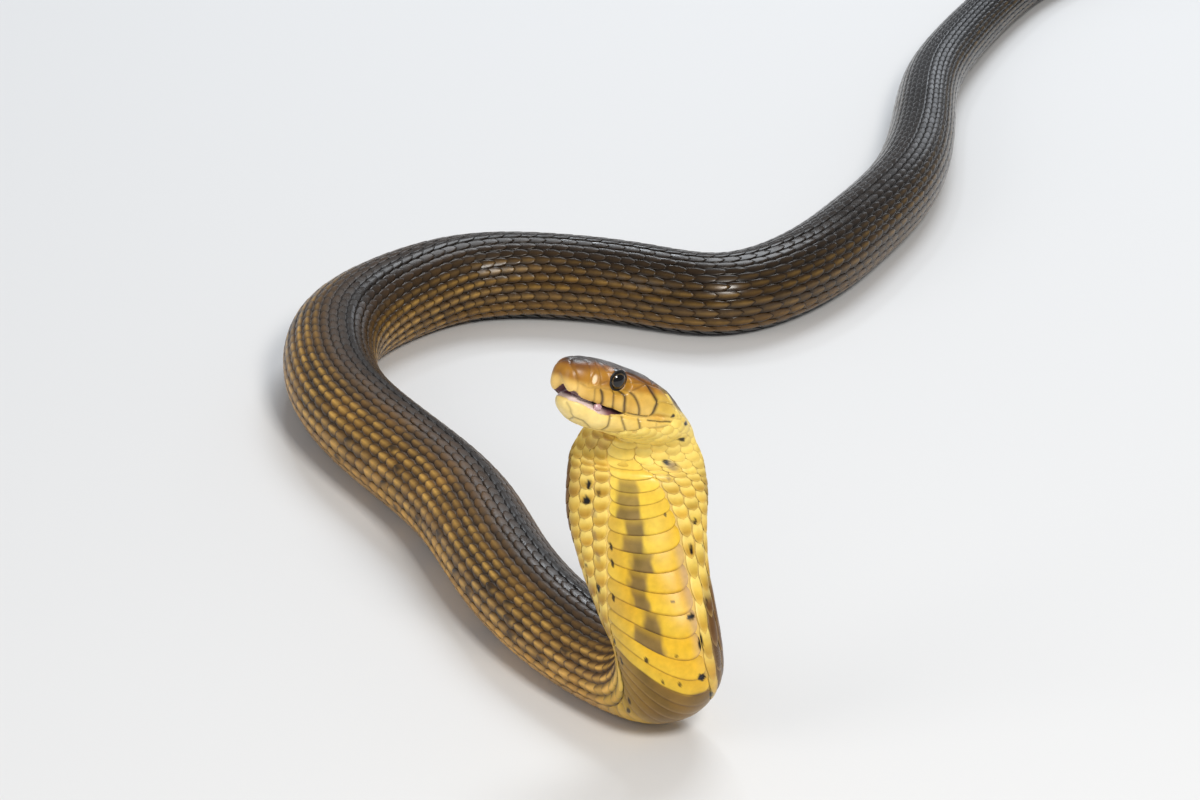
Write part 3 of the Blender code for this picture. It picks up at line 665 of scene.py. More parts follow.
def resample(points, step=0.22 * MM):
    p = np.array(points)
    t = np.concatenate([[0], np.cumsum(np.linalg.norm(np.diff(p, axis=0), axis=1))])
    n = max(int(t[-1] / step), 2)
    x = np.linspace(0, t[-1], n)
    if len(p) > 2:   # rounded through its corners
        fine = np.column_stack([np.interp(x, t, p[:, k]) for k in range(3)])
        pad = 3
        soft = np.concatenate([np.repeat(fine[:1], pad, axis=0), fine, np.repeat(fine[-1:], pad, axis=0)])
        fine = sum(soft[i:i + len(fine)] for i in range(2 * pad + 1)) / (2 * pad + 1)
        return fine
    return np.column_stack([np.interp(x, t, p[:, k]) for k in range(3)])


# Seams between the head's shields: points (a, b, h); width and depth in millimetres, darkness of the line
SIDE_SEAMS = [
    (0.32, 0.20, 0.28, [(1.6, 5.2, -1.5), (0.8, 6.2, 0.3), (0.2, 6.2, 2.1), (-1.2, 5.0, 4.7), (-1.7, 2.2, 6.5)]),
    (0.30, 0.20, 0.45, [(5.7, 8.2, 1.8), (6.7, 7.9, -0.9), (7.8, 6.9, -2.6)]),
    (0.46, 0.26, 1.00, [(7.6, 8.7, 2.0), (8.7, 8.9, 0.4), (9.6, 8.7, -1.4), (10.2, 7.9, -2.9)]),
    (0.32, 0.22, 0.80, [(12.3, 9.8, 2.8), (12.2, 10.0, 1.1), (13.1, 9.6, -1.1), (14.3, 8.9, -3.1)]),
    (0.46, 0.26, 1.00, [(14.0, 10.1, 3.4), (15.7, 10.6, 2.3), (16.3, 10.9, 1.2), (16.8, 10.5, -0.7), (18.6, 9.6, -3.1)]),
    (0.40, 0.26, 0.90, [(17.2, 10.8, 3.6), (19.0, 11.2, 2.8), (20.6, 11.8, 1.3), (21.9, 11.8, -0.3), (23.2, 11.5, -2.9)]),
    (0.55, 0.28, 1.00, [(23.2, 10.0, 7.3), (24.4, 11.3, 5.9), (26.3, 12.4, 4.0), (27.5, 12.8, 3.0), (27.1, 13.0, 0.7), (27.3, 12.5, -2.2)]),
    (0.30, 0.18, 0.28, [(0.8, 6.5, 2.0), (3.6, 7.5, 1.2), (5.7, 8.2, 1.8), (7.6, 8.7, 2.2), (9.9, 9.2, 2.5), (12.3, 9.8, 2.8), (14.2, 10.1, 3.5)]),
    (0.32, 0.20, 0.35, [(14.2, 10.1, 3.5), (17.2, 10.8, 3.6), (19.1, 11.0, 5.0), (20.6, 10.8, 5.9), (23.2, 10.0, 7.3)]),
    (0.34, 0.22, 0.20, [(27.5, 12.8, 3.0), (30.7, 12.9, 3.6), (34.6, 12.9, 4.2), (36.6, 13.3, 1.4), (36.8, 13.2, -1.1)]),
    (0.30, 0.18, 0.30, [(7.0, 8.3, 3.4), (8.7, 8.7, 4.5), (9.6, 8.9, 5.0)]),
    (0.30, 0.18, 0.30, [(7.6, 8.7, 2.0), (6.8, 8.2, 4.6), (6.2, 6.8, 7.4), (5.8, 5.0, 8.8)]),
    (0.30, 0.18, 0.30, [(16.2, 9.9, 6.1), (19.2, 10.0, 6.8), (23.2, 10.0, 7.3), (25.6, 10.2, 7.2)]),
    (0.34, 0.22, 0.60, [(15.9, 7.6, 8.9), (19.3, 8.0, 8.6), (21.2, 9.1, 7.9), (25.6, 10.2, 7.2)]),
    (0.32, 0.20, 0.55, [(25.6, 10.2, 7.2), (30.3, 9.6, 7.4), (33.0, 10.8, 6.3), (34.6, 12.9, 4.2)]),
    (0.28, 0.16, 0.16, [(3.5, 7.3, 1.4), (3.6, 7.0, 4.0), (3.4, 5.6, 7.4), (3.0, 4.6, 8.8)]),
    (0.32, 0.20, 0.40, [(1.1, 2.5, -5.0), (2.2, 3.8, -6.4), (3.7, 3.3, -8.1), (5.1, 3.5, -8.9)]),
    (0.36, 0.24, 0.50, [(5.1, 3.5, -8.9), (7.6, 5.2, -9.1), (10.0, 5.0, -10.2), (12.3, 3.7, -10.7)]),
    (0.34, 0.22, 0.80, [(14.3, 8.8, -4.6), (14.1, 9.2, -6.1), (15.0, 8.3, -8.7), (15.1, 5.3, -10.4)]),
    (0.34, 0.22, 0.80, [(18.1, 9.6, -4.2), (18.1, 10.3, -5.4), (19.5, 10.4, -7.0), (21.4, 9.6, -8.6)]),
    (0.34, 0.22, 0.80, [(23.5, 11.2, -3.4), (23.6, 11.4, -4.3), (24.6, 11.8, -5.9), (25.2, 11.6, -6.8)]),
    (0.28, 0.16, 0.30, [(29.4, 12.6, -2.4), (29.8, 12.8, -4.2), (30.2, 12.8, -5.2)]),
    (0.32, 0.20, 0.45, [(12.3, 3.7, -10.7), (15.1, 5.3, -10.4), (18.7, 6.7, -10.0), (21.6, 9.3, -8.8), (25.2, 11.6, -6.8), (29.7, 12.8, -4.9), (34.0, 13.3, -3.2)]),
    (0.25, 0.28, 1.00, [(18.8, 11.0, -3.7), (21.0, 11.6, -3.45), (23.5, 12.0, -3.2), (26.0, 12.5, -2.75), (28.5, 12.9, -2.25), (32.0, 13.4, -1.75), (35.0, 13.6, -1.5)]),
]
CROWN_SEAMS = [
    (0.34, 0.20, 0.55, [(-1.6, 2.3), (-0.9, 1.2), (-0.6, 0.0)]), (0.30, 0.18, 0.50, [(-0.6, 0.0), (3.0, 0.05), (7.4, 0.0)]),
    (0.32, 0.18, 0.55, [(2.9, 0.0), (3.0, 2.4), (3.4, 4.2), (3.5, 4.8)]), (0.32, 0.18, 0.55, [(7.4, 0.0), (7.1, 1.5), (7.6, 2.9)]),
    (0.32, 0.18, 0.55, [(7.6, 2.9), (7.5, 4.4), (8.0, 5.8), (8.9, 7.2)]), (0.34, 0.20, 0.60, [(7.6, 2.9), (11.0, 2.8), (13.6, 2.4), (14.9, 1.9)]),
    (0.34, 0.20, 0.60, [(14.9, 1.9), (16.0, 1.0), (16.8, 0.0)]), (0.34, 0.20, 0.60, [(14.9, 1.9), (15.4, 3.6), (15.9, 5.4), (15.9, 7.4)]),
    (0.34, 0.20, 0.60, [(16.8, 0.0), (22.0, 0.1), (27.0, 0.0)]), (0.34, 0.22, 0.65, [(27.0, 0.0), (28.2, 2.2), (28.2, 4.6), (27.2, 7.4), (25.8, 9.8)]),
    (0.30, 0.18, 0.50, [(28.0, 4.8), (30.0, 6.8), (30.3, 9.2)]),
]
CHIN_SEAMS = [
    (0.32, 0.22, 0.50, [(5.0, 3.4), (5.9, 1.2), (6.2, 0.0)]), (0.36, 0.30, 0.60, [(6.2, 0.0), (12.5, 0.0), (20.5, 0.0)]),
    (0.32, 0.20, 0.45, [(12.3, 3.7), (12.9, 1.4), (12.2, 0.0)]), (0.32, 0.20, 0.45, [(19.6, 5.6), (20.6, 3.0), (20.5, 0.0)]),
    (0.32, 0.20, 0.45, [(15.1, 5.3), (17.6, 5.3), (19.6, 5.6)]),
]
seam_points, seam_kind = [], []
for side in (1, -1):
    for width, depth, dark, line in SIDE_SEAMS:
        pts = snap(resample([head_point(a, b * side, h) for a, b, h in line]))[0]
        seam_points.append(pts)
        seam_kind += [(width, depth, dark)] * len(pts)
    for way, group in ((1, CROWN_SEAMS), (-1, CHIN_SEAMS)):
        for width, depth, dark, line in group:
            pts = snap(resample([drop(a, b * side, way) for a, b in line]))[0]
            seam_points.append(pts)
            seam_kind += [(width, depth, dark)] * len(pts)
seam_points, seam_kind = np.concatenate(seam_points), np.array(seam_kind)
kd = KDTree(len(seam_points))
for i, p in enumerate(seam_points):
    kd.insert(p, i)
kd.balance()

A, B, H = head_coords(head_v)
N_FORE, N_SIDE, N_UP = head_n @ -FORE, head_n @ LEFT, head_n @ CROWN
near = np.full(len(head_v), 9.0)
kind = np.zeros(len(head_v), int)
for i in np.nonzero(A < 40)[0]:
    _, j, d = kd.find(head_v[i])
    near[i], kind[i] = d / MM, j
width, depth, dark = seam_kind[kind].T

half_u, crown_u, lip_u, wide_u = HEAD(A).T
half_j, lip_j, under_j = JAW(A).T
inside_top = (H < lip_u + 2.6) & (H > lip_j - 0.2) & (N_UP < -0.3) & (np.abs(B) < half_u - np.interp(A, (0, 3, 6, 30), (0.9, 1.5, 1.95, 2.1))) & (A < 25.5) & (A > 0.2)
inside_low = (H > lip_j - np.interp(A, (1.6, 3, 7, 13, 17, 20, 24), (0.35, 0.55, 1.30, 0.95, 0.25, 0.0, -0.1))) & (H < np.where(np.abs(B) < half_j - 1.3, lip_u + 2.4, lip_j + 0.5)) & (np.abs(B) < half_j - np.interp(A, (0, 2.5, 4.5, 12, 15, 30), (0.35, 0.5, -1.0, -1.0, 1.4, 1.8))) & (A < 25.5) & (A > 1.6) & (N_UP > -0.5)
inside = (inside_top | inside_low).astype(float)
for _ in range(2):
    inside = 0.5 * inside + 0.5 * np.bincount(all_ends, weights=inside[all_others], minlength=len(inside)) / np.maximum(np.bincount(all_ends, minlength=len(inside)), 1)
inside = ease(inside, 0.25, 0.75)
outside = 1 - inside

# grooves, the slight crown of each shield, and fine unevenness
shield = (1 - ease(A, 30, 37)) * outside
groove = depth * np.exp(-(near / width) ** 2) * np.where(A < 38, 1.0, 0.0) * outside
swell = 0.16 * (1 - np.exp(-near / 0.9)) * shield
move = (swell - groove + 0.03 * noise(A / 2.1, B / 2.1, H / 2.1) * shield)
head_v += head_n * move[:, None] * MM

# eyes, brow and nostrils
eye_axis = {}
for side in (1, -1):
    centre = head_point(EYE_A + 0.7, (EYE_B - 0.25) * side, EYE_H - 0.40)
    axis = unit(LEFT * side * 1.0 - FORE * 0.06 - CROWN * 0.06)
    eye_axis[side] = (centre, axis)
    q = (head_v - centre) / MM
    along = q @ axis
    rho = np.linalg.norm(q - along[:, None] * axis, axis=1)
    out = along > -2.6
    ball = np.sqrt(np.maximum(EYE_R ** 2 - rho ** 2, 0.0))
    sunk = out & (rho < 2.96)
    target = ball - 0.55
    shift = np.where(sunk, target - along, 0)
    rimmed = out & (rho >= 2.96) & (rho < 4.5)
    lip_at = math.sqrt(EYE_R ** 2 - 3.0 ** 2) + 0.14
    w = 1 - ease(rho, 3.3, 4.5)
    shift = np.where(rimmed & (along > lip_at), (lip_at - along) * w, shift)
    collar = lip_at - 0.04 - 0.70 * np.maximum(rho - 3.05, 0)
    low = (along > -2.6) & (rho >= 2.96) & (rho < 5.2) & (along < collar)
    shift = np.where(low, (collar - along) * (1 - ease(rho, 3.7, 5.2)) * (1 - ease(q @ CROWN, 1.2, 2.8)), shift)
    head_v += axis * (shift * MM)[:, None]
    q = (head_v - centre) / MM
    along, dist = q @ axis, np.linalg.norm(q, axis=1)
    rho = np.linalg.norm(q - along[:, None] * axis, axis=1)
    lid = (rho > 2.98) & (dist < EYE_R + 1.4) & (dist > 0.8)
    wanted = EYE_R + 0.14 + 0.30 * np.log1p(np.exp((dist - EYE_R - 0.14) / 0.30))
    head_v += q * (np.where(lid, (wanted - dist) * (1 - ease(dist, EYE_R + 0.7, EYE_R + 1.4)), 0) / np.maximum(dist, 1e-6) * MM)[:, None]
    nose = head_point(5.3, 7.3 * side, 4.3)
    nose_axis = unit(LEFT * side + FORE * 0.55 + CROWN * 0.10)
    q = (head_v - nose) / MM
    along = q @ nose_axis
    flat = q - along[:, None] * nose_axis
    x, y = flat @ unit(np.cross(CROWN, nose_axis)), flat @ CROWN
    x = x * side
    r = np.hypot(x / 1.2, y / 2.2)
    pit = np.where(np.abs(along) < 2.5, 1 - ease(r, 0.30, 1.05), 0)
    ring = np.where(np.abs(along) < 2.5, np.exp(-((r - 1.25) / 0.35) ** 2), 0)
    head_v += nose_axis * ((0.12 * ring - 0.90 * pit) * MM)[:, None]
    wall = pit * ease(x, -0.80, -0.35)
    crescent = np.where(np.abs(along) < 2.5, 0.26 * np.exp(-((r - 1.05) / 0.24) ** 2) * np.maximum(ease(-x, 0.0, 0.6), ease(-y, 1.3, 2.0)), 0.0)
    if side == 1:
        nostril_glint, nostril_opening_shade, eye_near = pit, crescent, np.zeros(len(head_v))
    else:
        nostril_glint, nostril_opening_shade = np.maximum(nostril_glint, pit), np.maximum(nostril_opening_shade, crescent)
for side in (1, -1):
    centre, axis = eye_axis[side]
    q = (head_v - centre) / MM
    along = q @ axis
    rho = np.linalg.norm(q - along[:, None] * axis, axis=1)
    eye_near = np.maximum(eye_near, np.where(along > 0, 1 - ease(rho, 3.0, 3.2), 0))

# where each vertex lies on the body, for the markings behind the head
grid_s, grid_f = np.meshgrid(np.arange(-17.0, NECK_CUT + 2, 0.6), np.linspace(-1, 1, 150, endpoint=False), indexing="ij")
grid_s, grid_f = grid_s.ravel(), grid_f.ravel()
grid_p = BODY.point(grid_s, grid_f)
kd = KDTree(len(grid_p))
for i, p in enumerate(grid_p):
    kd.insert(p, i)
kd.balance()
skin_s, skin_f = np.full(len(head_v), -17.0), np.zeros(len(head_v))
for i in np.nonzero(A > 17)[0]:
    j = kd.find(head_v[i])[1]
    skin_s[i], skin_f[i] = grid_s[j], grid_f[j]


def head_paint(a, b, h):
    """Colour of the head by place: pale lips and snout front, amber cheeks, brown crown."""
    side = np.abs(b)
    n, m = noise(a / 3.1, b / 3.1, h / 3.1), noise(a / 1.1 + 9, b / 1.1, h / 1.1)
    labial = mix(lin(0.92, 0.76, 0.38), lin(0.82, 0.63, 0.25), np.clip(0.45 + 0.6 * n + 0.5 * ease(h, -1, 2.5), 0, 1))
    gold = mix(lin(0.76, 0.54, 0.16), lin(0.64, 0.43, 0.11), np.clip(0.5 + 0.6 * n + 0.2 * m, 0, 1))
    amber = mix(lin(0.56, 0.34, 0.09), lin(0.42, 0.25, 0.075), np.clip(0.5 + 0.5 * n + 0.2 * m, 0, 1))
    crown = mix(lin(0.25, 0.165, 0.09), lin(0.17, 0.115, 0.07), np.clip(0.5 + 0.6 * n, 0, 1))
    top_edge = np.interp(a, (-3, -1, 2, 6, 14, 17, 24, 30, 38), (6.0, 7.5, 8.6, 9.1, 9.4, 9.1, 8.5, 7.4, 4.8))
    c = mix(labial, gold, ease(h, np.interp(a, (-3, 3, 12, 24), (0.6, 1.4, 2.4, 3.8)), np.interp(a, (-3, 3, 12, 24), (3.0, 3.4, 4.4, 5.8))))
    c = mix(c, amber, ease(h + 0.5 * n, np.interp(a, (-3, 3, 12, 20, 30), (4.0, 5.2, 7.2, 6.0, 6.0)), np.interp(a, (-3, 3, 12, 20, 30), (6.6, 8.2, 9.2, 8.4, 8.0))))
    c = mix(c, crown, ease(h + 0.3 * n, top_edge - 0.7, top_edge + 0.4))
    front = (1 - ease(a, 0.5, 5.5)) * (1 - ease(h, 0.0, 3.2))
    c = mix(c, lin(0.96, 0.80, 0.46), front * 0.9)
    jaw = mix(lin(0.97, 0.86, 0.54), lin(0.93, 0.78, 0.38), np.clip(ease(a, 10, 24) + 0.3 * n, 0, 1))
    c = mix(c, jaw, (h < np.interp(a, (0, 24, 30, 37), (-2.9, -2.9, -2.4, -1.2))) * 1.0)
    tan = mix(lin(0.88, 0.73, 0.31), lin(0.80, 0.63, 0.23), np.clip(0.5 + 0.7 * n, 0, 1))
    c = mix(c, tan, ease(a, 24, 29) * ease(h, -1.5, 0.5) * (1 - ease(h, 4.0, 6.5)))
    return c


A, B, H = head_coords(head_v)
paint = mix(head_paint(A, B, H), body_paint(row_place(skin_s, skin_f), skin_f), ease(A, 31, 38) * (A > 17))
paint = mix(paint, lin(0.06, 0.045, 0.03), 0.95 * (1 - ease(np.hypot(A - 34.8, H - 0.1), 0.45, 0.95)) * (np.abs(B) > 9))
line_dark = dark * np.exp(-(near / (width * 1.15)) ** 2) * outside * (A < 39)
brown_line = mix(np.tile(lin(0.16, 0.10, 0.05), (len(A), 1)), np.tile(lin(0.10, 0.07, 0.05), (len(A), 1)), ease(H, 4, 8))
paint = mix(paint, brown_line, np.clip(line_dark * 0.95, 0, 1))
paint = mix(paint, lin(0.05, 0.035, 0.03), 0.9 * eye_near)
# whitish nostril: painted highlight on the nasal shield
paint = mix(paint, lin(0.99, 0.90, 0.76), 0.88 * ease(nostril_glint, 0.25, 0.80))
# dark crescent along the nostril's edge: painted shade in the opening
paint = mix(paint, lin(0.07, 0.045, 0.03), 0.95 * ease(nostril_opening_shade, 0.15, 0.6))
# further into the mouth the lining and the gum are painted darker: partly their own purple, partly painted shade inside
# the mouth
lining = mix(lin(0.36, 0.22, 0.27), lin(0.20, 0.10, 0.12), np.clip(ease(A, 2, 10) + 0.3 * noise(A / 1.7, B / 1.7, H / 1.7), 0, 1))
low_gum = (1 - ease(H, lip_j + 0.45, lip_j + 1.2)) * (1 - 0.8 * ease(A, 12.5, 17))
gum = mix(lining, mix(lin(0.96, 0.87, 0.84), lin(0.62, 0.43, 0.45), ease(A, 10.0, 14.5)), low_gum * inside_low)
paint = mix(paint, gum, inside)
matt = (0.36 + 0.10 * noise(A / 2, B / 2, H / 2)) * (1 - inside) + 0.18 * inside
matt = np.where(nostril_glint > 0.4, 0.6, matt)

# ---------------------------------------------------------------- the rest of the skin, joined to the head
AROUND = 60
body_s = np.concatenate([np.arange(NECK_CUT + 1.6, 112, 2.6), np.arange(112, BODY.length - 9, 4.4), BODY.length - np.array([7.0, 4.5, 2.5, 1.2])])
ring_f = np.linspace(-1, 1, AROUND, endpoint=False)
S, F = np.repeat(body_s, AROUND), np.tile(ring_f, len(body_s))
P, N = BODY.surface(S, F)
depth_at = COAT * np.interp(S, (1300, 1490), (1.0, 0.55))
P = P - N * (depth_at * MM)[:, None]
P[:, 2] = np.maximum(P[:, 2], np.where(S > BODY.floor_from - 30, 0.0006, -1.0))
end = BODY.point(np.array([BODY.length]), np.array([0.0]))[0] * 0.0 + BODY.frame(np.array([BODY.length]))[0][0]
end[2] = max(end[2], 0.0009)
first = len(head_v)
verts = np.concatenate([head_v, P, end[None]])
faces4 = ring_faces(len(body_s), AROUND, first)
k = np.arange(AROUND)
last = first + (len(body_s) - 1) * AROUND
cap = np.column_stack([last + k, last + (k + 1) % AROUND, np.full(AROUND, len(verts) - 1)])
ang = lambda p: np.arctan2((p - cut_c) @ cut_x, (p - cut_c) @ cut_b)
ra, rb = ang(head_v[rim]), ang(P[:AROUND])
rim, inner = rim[np.argsort(ra)], first + np.argsort(rb)
ra, rb = np.sort(ra), np.sort(rb)
zip_faces, i, j = [], 0, 0
ra2, rb2 = np.append(ra, ra[0] + 2 * math.pi), np.append(rb, rb[0] + 2 * math.pi)
while i < len(ra) or j < len(rb):
    if j >= len(rb) or (i < len(ra) and ra2[i + 1] <= rb2[j + 1]):
        zip_faces.append((rim[i % len(ra)], rim[(i + 1) % len(ra)], inner[j % len(rb)]))
        i += 1
    else:
        zip_faces.append((rim[i % len(ra)], inner[(j + 1) % len(rb)], inner[j % len(rb)]))
        j += 1
quads = np.array([f for f in head_tri if len(f) == 4])
tris = np.array([f for f in head_tri if len(f) == 3] + zip_faces)
ngons = [f for f in head_tri if len(f) > 4]
body_colour = body_paint(row_place(S, F), F)
between = mix(mix(body_colour, lin(0.93, 0.80, 0.50), 0.55 * (1 - ease(S, 60, 92)) * (1 - wing_back(S, np.mod(F + 1, 2) - 1, np.clip((np.abs(F) - belly_share(S)) / (1 - belly_share(S)), 0, 1)))), lin(0.035, 0.028, 0.022), 0.60 * ease(S, 86, 130))
paint_all = np.concatenate([paint, between, between[-1:]])
matt_all = np.concatenate([matt, np.full(len(S) + 1, 0.55)])
fans = []
for f in ngons:
    fans += [(f[0], f[i], f[i + 1]) for i in range(1, len(f) - 1)]
tris = np.concatenate([tris, np.array(fans).reshape(-1, 3)]) if fans else tris
skin = new_mesh("snake_skin", verts, [quads, faces4, tris, cap], paint_all, matt_all)
bm = bmesh.new()
bm.from_mesh(skin.data)
bmesh.ops.recalc_face_normals(bm, faces=bm.faces)
bm.to_mesh(skin.data)
bm.free()
print("skin triangles", sum(len(p.vertices) - 2 for p in skin.data.polygons))

# ---------------------------------------------------------------- the coat of scales
skin_tree = BVHTree.FromPolygons([Vector(v) for v in head_v], [tuple(t) for t in head_tri])


def base(s, g):
    """Place on the skin and outward normal; on the neck they come from the head's own skin."""
    s = s + slant(s, g)
    p, n = BODY.surface(s, g)
    p = p - n * (COAT * np.interp(s, (1300, 1490), (1.0, 0.55)) * MM)[:, None]
    w = 1 - ease(s, 9.0, 14.0)
    for i in np.nonzero(w > 0)[0]:
        hit = skin_tree.find_nearest(Vector(p[i]))
        if hit[0] is not None:
            m = np.array(hit[1])
            p[i] = p[i] * (1 - w[i]) + np.array(hit[0]) * w[i]
            if m @ n[i] > 0.2:
                n[i] = n[i] * (1 - 0.6 * w[i]) + m * 0.6 * w[i]
    return p, unit(n)


class Coat:
    """Gathers scales of one outline: a domed plate with a free, thicker rear edge, closed underneath."""

    def __init__(self, us, vs):
        self.us, self.vs = np.array(us), np.array(vs)
        nx, ny = len(us), len(vs)
        u, v = np.meshgrid(self.us, self.vs)
        self.u, self.v = u.ravel(), v.ravel()
        idx = np.arange(nx * ny).reshape(ny, nx)
        edge = np.concatenate([idx[0, :], idx[1:, -1], idx[-1, -2::-1], idx[-2:0:-1, 0]])
        top = np.stack([idx[:-1, :-1], idx[:-1, 1:], idx[1:, 1:], idx[1:, :-1]], axis=-1).reshape(-1, 4)
        n, m = nx * ny, len(edge)
        low = n + np.arange(m)
        rim = np.column_stack([edge, low, np.roll(low, -1), np.roll(edge, -1)])
        fan = np.column_stack([low, np.full(m, n + m), np.roll(low, -1)])
        self.edge, self.top, self.rim, self.fan, self.size = edge, top, rim, fan, n + m + 1

    def build(self, name, s, g, height, thick, colour, matt, uv_mid, uv_half, pieces, belong):
        """s, g, height: (scales, points). One object for each piece number."""
        count = len(s)
        p, n = base(s.ravel(), g.ravel())
        low_p = p.reshape(count, -1, 3)
        nn = n.reshape(count, -1, 3)
        topv = low_p + nn * (height * MM)[..., None]
        e_top, e_n = topv[:, self.edge], nn[:, self.edge]
        mid = topv.mean(axis=1, keepdims=True)
        under = e_top - e_n * (np.minimum(thick, np.maximum(height[:, self.edge] + 0.06, 0.05)) * MM)[..., None] + (mid - e_top) * 0.05
        centre = under.mean(axis=1, keepdims=True)
        v = np.concatenate([topv, under, centre], axis=1)
        low_floor = np.where(s.mean(axis=1) > BODY.floor_from - 30, 0.00005, -1.0)
        v[..., 2] = np.maximum(v[..., 2], low_floor[:, None])
        # painted shade: the scales' undersides are darkened to 0.30 of their colour, under the chin only to 0.85
        under_shade = np.where((s.mean(axis=1) < 20) & name.startswith("belly"), 0.85, 0.30)[:, None, None]   # under the chin the plates are pressed into each other
        c = np.concatenate([colour, colour[:, self.edge] * under_shade, colour.mean(axis=1, keepdims=True) * (under_shade + 0.1)], axis=1)
        r = np.concatenate([matt, matt[:, self.edge] + 0.1, matt.mean(axis=1, keepdims=True)], axis=1)
        uu = np.concatenate([self.u, self.u[self.edge] * 1.0, [0.0]])
        vv = np.concatenate([self.v, self.v[self.edge], [0.5]]) * 2 - 1
        shrink = np.concatenate([np.full(len(self.u), 0.82), np.full(len(self.edge), 1.0), [0.9]])
        uv = uv_mid[:, None, :] + np.stack([uu * shrink, vv * shrink], axis=-1)[None] * uv_half
        made = []
        for k in range(pieces):
            pick = np.nonzero(belong == k)[0]
            if not len(pick):
                continue
            off = (np.arange(len(pick)) * self.size)[:, None, None]
            faces = [(f[None] + off).reshape(-1, f.shape[1]) for f in (self.top, self.rim, self.fan)]
            obj = new_mesh("%s_%d" % (name, k + 1) if pieces > 1 else name, v[pick].reshape(-1, 3), faces, c[pick].reshape(-1, 3), r[pick].ravel(), uv[pick].reshape(-1, 2))
            made.append(obj)
            print(obj.name, len(pick), "scales", sum(len(f) * (f.shape[1] - 2) for f in faces), "triangles")
        return made


def outline(v, root=0.44):
    x = v * (1 + math.sqrt(1 - root * root)) - math.sqrt(1 - root * root)
    return np.sqrt(np.maximum(1 - x * x, 0.0))


rng = np.random.RandomState(5)
SHIFT = [(-20, -0.04), (0, -0.10), (9.6, -0.10), (14, -0.060), (20.5, -0.030), (24.6, -0.008), (28, 0.010), (38, 0.030), (50, 0.024), (60, 0.010), (68, 0.0)]


def turned(s, g):
    """The belly plates lie a little off the middle where the neck is twisted."""
    g = np.mod(g + 1, 2) - 1
    return g + np.interp(s, [k[0] for k in SHIFT], [k[1] for k in SHIFT]) * (1 - np.abs(g))


def head_mask(s, g, extra=0.0):
    """True where the small scales of the nape start behind the head's shields."""
    p = BODY.point(s, g)
    a, b, h = head_coords(p)
    t = np.degrees(np.arctan2(np.abs(b), h + 3.0))
    start = np.interp(t, (0, 35, 58, 78, 89, 94, 98.5, 103, 108, 115, 122, 132, 145, 180), (28.6, 28.8, 31.5, 36.0, 36.4, 33.2, 30.0, 27.8, 25.4, 23.2, 21.6, 19.6, 19.0, 18.5))
    return (a > start + extra) | (s > 12)


stations = belly_steps(-16.2, BODY.length - 6, ((15, 60), (0, 1)))
body_stations = stations[stations < VENT + 8]
made = []


def paint_scale(s0, g0, s, g, V, U, kind):
    """Markings of the body, mostly in the scale's own colour at its middle, with a random tone and warmth for each
    scale.
    """
    count = len(s0)
    c = body_paint(s.ravel(), g.ravel(), False).reshape(s.shape + (3,))
    own = body_paint(s0, g0, False)[:, None, :]
    c = c * 0.35 + own * 0.65
    tone = 1 + rng.uniform(-0.11, 0.11, count)[:, None]
    warm = rng.uniform(-1, 1, count)[:, None]
    c = c * tone[..., None] * (1 + warm[..., None] * np.array([0.03, 0.0, -0.06]))
    return c


